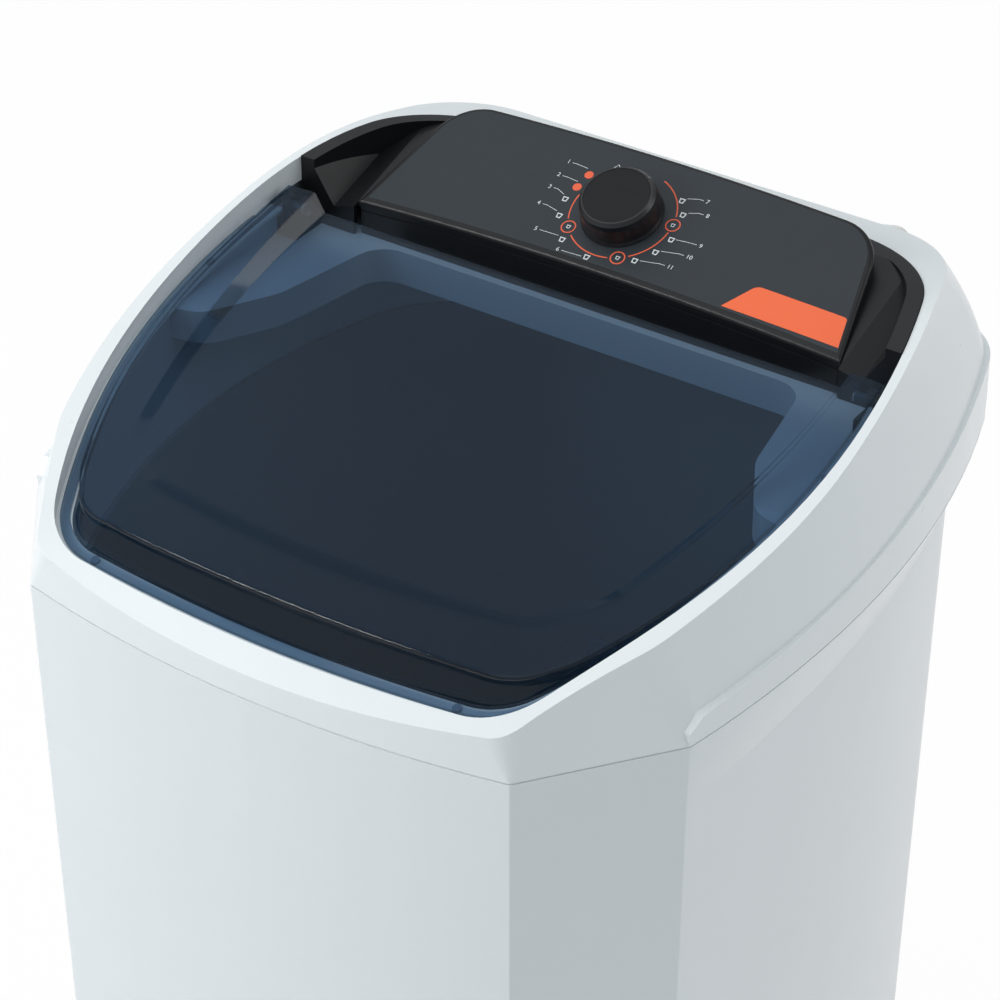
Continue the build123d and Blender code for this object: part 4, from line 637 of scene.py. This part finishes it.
class WASHER_OT_dial_marks(bpy.types.Operator):
    """Print the signs, the fine lines, the numbers and the start mark of the dial"""

    bl_idname = "washer.dial_marks"
    bl_label = "Dial marks"

    def execute(self, context):
        sizes = context.scene.washer_sizes
        width = sizes.leader_width
        parts = [flat_tub(u * MM, v * MM, sizes.sign_size) for u, v in SIGNS]
        for number, (near, far) in enumerate(LEADERS, 1):
            side = 1 if far[0] > near[0] else -1
            start, bend = (Vector(place) * MM for place in (near, far))
            end = bend + Vector((side * sizes.leader_length, 0))
            parts.append(flat_strip(start, bend, width))
            parts.append(flat_strip(bend, end, width))
            align = "LEFT" if side > 0 else "RIGHT"
            parts.append(flat_number(str(number), end.x + side * 2 * MM, end.y, sizes.number_height, align))
        for angle in BEAD_ANGLES:
            x, y = on_ring(sizes.ring_radius, angle)
            parts.append(flat_tub(x, y, sizes.sign_size * 0.7))
        for start, end in zip(START_MARK, START_MARK[1:] + START_MARK[:1]):
            parts.append(flat_strip(Vector(start) * MM, Vector(end) * MM, width))
        marks = lay_on_panel(joined(parts, "dial_marks"))
        ink = moulded("light_ink", context.scene.washer_colours.print_light, 0.5, 0.3, 0.005, 0.04)
        dress(marks, ink)
        return {"FINISHED"}


class WASHER_OT_knob_pointer(bpy.types.Operator):
    """Set the small pale pointer into the knob's bevel"""

    bl_idname = "washer.knob_pointer"
    bl_label = "Knob pointer"

    def execute(self, context):
        sizes = context.scene.washer_sizes
        (low_r, low_z), (high_r, high_z) = BEVEL_LOW, BEVEL_HIGH
        run = Vector((low_r - high_r, high_z - low_z)) * MM
        bpy.ops.mesh.primitive_cube_add(size=1, location=(0, 0, 0))
        pointer = bpy.context.object
        pointer.scale = (run.length * 0.8, sizes.pointer_width, 0.5 * MM)
        settle(pointer)
        modify(pointer, "BEVEL", width=0.12 * MM, segments=2)
        lean = Matrix.Rotation(Vector((1, 0)).angle(run), 4, "Y")
        middle = Matrix.Translation(((low_r + high_r) / 2 * MM, 0, (low_z + high_z) / 2 * MM))
        turn = Matrix.Rotation(radians(60), 4, "Z")
        settle(pointer, KNOB @ turn @ middle @ lean)
        pointer.name = "knob_pointer"
        ink = moulded("pointer_ink", context.scene.washer_colours.pointer, 0.4, 0.3, 0.005, 0.04)
        dress(smooth(pointer), ink, KNOB_BODY)
        return {"FINISHED"}


class WASHER_OT_inlet_thread(bpy.types.Operator):
    """Turn the water inlet with its flange and its thread"""

    bl_idname = "washer.inlet_thread"
    bl_label = "Inlet thread"

    def execute(self, context):
        sizes = context.scene.washer_sizes
        reach = (INLET_HIGH[1] - INLET_LOW[1]) / MM
        outer = (INLET_HIGH[2] - INLET_LOW[2]) / 2 / MM
        crest = outer - 5.0
        depth = sizes.thread_depth / MM
        pitch = sizes.thread_pitch / MM
        core = crest - depth
        body = turned([
            (INLET_BORE, 0), (crest - 1, 0), (crest, 1), (crest, INLET_SEAT), (outer - 0.6, INLET_SEAT),
            (outer, INLET_SEAT + 0.6), (outer, INLET_SEAT + 2.4), (outer - 0.6, INLET_SEAT + 3),
            (core, INLET_SEAT + 3), (core, reach - 0.8), (core - 0.8, reach), (INLET_BORE + 0.6, reach),
            (INLET_BORE, reach - 0.6)])
        ridge = helix(core, INLET_SEAT + 3 + depth, reach - depth, pitch, depth)
        inlet = joined([body, ridge], "water_inlet_turned")
        settle(inlet, rearward(INLET_LOW, INLET_HIGH))
        dress(smooth(inlet), node_finish("water_inlet"))
        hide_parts("water_inlet")
        return {"FINISHED"}


class WASHER_OT_spigot_barbs(bpy.types.Operator):
    """Turn the drain spigot with its flange and the barbs that hold the hose"""

    bl_idname = "washer.spigot_barbs"
    bl_label = "Spigot barbs"

    def execute(self, context):
        sizes = context.scene.washer_sizes
        reach = (SPIGOT_HIGH[1] - SPIGOT_LOW[1]) / MM
        outer = (SPIGOT_HIGH[2] - SPIGOT_LOW[2]) / 2 / MM
        crest = outer - 7.0
        low = crest - 0.9
        first = SPIGOT_SEAT + 4.5
        pitch = (reach - 0.6 - first) / sizes.barb_count
        points = [
            (SPIGOT_BORE, 0), (crest, 0), (crest, SPIGOT_SEAT), (outer - 0.6, SPIGOT_SEAT),
            (outer, SPIGOT_SEAT + 0.6), (outer, SPIGOT_SEAT + 2.4), (outer - 0.6, SPIGOT_SEAT + 3),
            (low, SPIGOT_SEAT + 3)]
        for barb in range(sizes.barb_count):
            start = first + barb * pitch
            points += [(low, start), (crest, start + 0.3), (low, start + pitch - 0.2)]
        points += [(low - 0.4, reach), (SPIGOT_BORE + 0.4, reach), (SPIGOT_BORE, reach - 0.4)]
        spigot = turned(points)
        spigot.name = "drain_spigot_turned"
        settle(spigot, rearward(SPIGOT_LOW, SPIGOT_HIGH))
        dress(smooth(spigot), node_finish("drain_spigot"))
        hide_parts("drain_spigot")
        return {"FINISHED"}


class WASHER_OT_stage(bpy.types.Operator):
    """Build the pale floor, the white surroundings and the soft lamps"""

    bl_idname = "washer.stage"
    bl_label = "Stage"

    def execute(self, context):
        bpy.ops.mesh.primitive_plane_add(size=30, location=(0, 0, 0))
        floor = bpy.context.object
        floor.name = "floor"
        g = Graph("floor_white")
        g_ray = g.node("ShaderNodeLightPath", output="Is Camera Ray")
        for ray in ("Is Glossy Ray", "Is Transmission Ray"):
            g_ray = g_ray + g.node("ShaderNodeLightPath", output=ray)
        paper = g.node("ShaderNodeBsdfDiffuse", inputs={"Color": (0.85, 0.86, 0.87, 1)})
        glow = g.node("ShaderNodeEmission", inputs={"Color": (1, 1, 1, 1), "Strength": 1.0})
        share = g.node("ShaderNodeMath", {"operation": "MULTIPLY", "use_clamp": True}, {0: g_ray, 1: 0.97})
        material = g.surface(g.node("ShaderNodeMixShader", inputs={0: share, 1: paper, 2: glow}))
        floor.data.materials.append(material)
        self.add_world(context)
        # Name, azimuth and elevation in degrees, distance, size and power of each lamp
        lamps = (
            ("key", -46, 31, 4.0, (2.4, 2.4), 88),
            ("fill", 118, 30, 4.0, (2.0, 3.0), 25),
            ("top", 20, 78, 3.5, (2.6, 2.6), 26),
            ("sky", -131, 56, 3.5, (3.0, 2.6), 12),
            ("glint", -40, 44, 3.0, (1.2, 0.7), 32),
        )
        for name, azimuth, elevation, distance, size, power in lamps:
            self.add_lamp(context, name, azimuth, elevation, distance, size, power)
        context.scene.view_settings.view_transform = "Standard"
        return {"FINISHED"}

    def add_world(self, context):
        world = bpy.data.worlds.new("surroundings")
        context.scene.world = world
        world.use_nodes = True
        tree = world.node_tree
        tree.nodes.clear()
        out = tree.nodes.new("ShaderNodeOutputWorld")
        seen = tree.nodes.new("ShaderNodeLightPath")
        soft = tree.nodes.new("ShaderNodeBackground")
        soft.inputs["Color"].default_value = (0.93, 0.97, 1.0, 1)
        soft.inputs["Strength"].default_value = 0.4
        white = tree.nodes.new("ShaderNodeBackground")
        white.inputs["Strength"].default_value = 1.0
        mix = tree.nodes.new("ShaderNodeMixShader")
        tree.links.new(seen.outputs["Is Camera Ray"], mix.inputs[0])
        tree.links.new(soft.outputs[0], mix.inputs[1])
        tree.links.new(white.outputs[0], mix.inputs[2])
        tree.links.new(mix.outputs[0], out.inputs["Surface"])

    def add_lamp(self, context, name, azimuth, elevation, distance, size, power):
        a, e = radians(azimuth), radians(elevation)
        back = Vector((sin(a) * cos(e), -cos(a) * cos(e), sin(e)))
        data = bpy.data.lights.new(name, "AREA")
        data.shape = "RECTANGLE"
        data.size, data.size_y = size
        data.energy = power
        lamp = bpy.data.objects.new(name, data)
        lamp.location = Vector((0, 0, 0.6)) + back * distance
        lamp.rotation_mode = "QUATERNION"
        lamp.rotation_quaternion = (-back).to_track_quat("-Z", "Y")
        # The key lamp gives no highlights, and the glint gives nothing else
        lamp.visible_glossy = name != "key"
        lamp.visible_diffuse = name != "glint"
        context.scene.collection.objects.link(lamp)


class WASHER_PT_panel(bpy.types.Panel):
    """The sizes, the colours and the steps of the machine's dressing"""

    bl_label = "Washing machine"
    bl_idname = "WASHER_PT_panel"
    bl_space_type = "VIEW_3D"
    bl_region_type = "UI"
    bl_category = "Washer"

    def draw(self, context):
        for group in (context.scene.washer_sizes, context.scene.washer_colours):
            box = self.layout.box()
            for name in group.bl_rna.properties.keys():
                if name not in {"rna_type", "name"}:
                    box.prop(group, name)
        for operator in OPERATORS:
            self.layout.operator(operator.bl_idname)


OPERATORS = (
    WASHER_OT_camera,
    WASHER_OT_finishes,
    WASHER_OT_dial_ring,
    WASHER_OT_dial_marks,
    WASHER_OT_knob_pointer,
    WASHER_OT_inlet_thread,
    WASHER_OT_spigot_barbs,
    WASHER_OT_stage,
)
CLASSES = (WasherSizes, WasherColours, *OPERATORS, WASHER_PT_panel)


def register():
    for item in CLASSES:
        bpy.utils.register_class(item)
    bpy.types.Scene.washer_sizes = bpy.props.PointerProperty(type=WasherSizes)
    bpy.types.Scene.washer_colours = bpy.props.PointerProperty(type=WasherColours)


def unregister():
    del bpy.types.Scene.washer_sizes
    del bpy.types.Scene.washer_colours
    for item in reversed(CLASSES):
        bpy.utils.unregister_class(item)


def main():
    register()
    bpy.ops.washer.camera()
    bpy.ops.washer.finishes()
    bpy.ops.washer.dial_ring()
    bpy.ops.washer.dial_marks()
    bpy.ops.washer.knob_pointer()
    bpy.ops.washer.inlet_thread()
    bpy.ops.washer.spigot_barbs()
    bpy.ops.washer.stage()


if __name__ == "__main__":
    main()
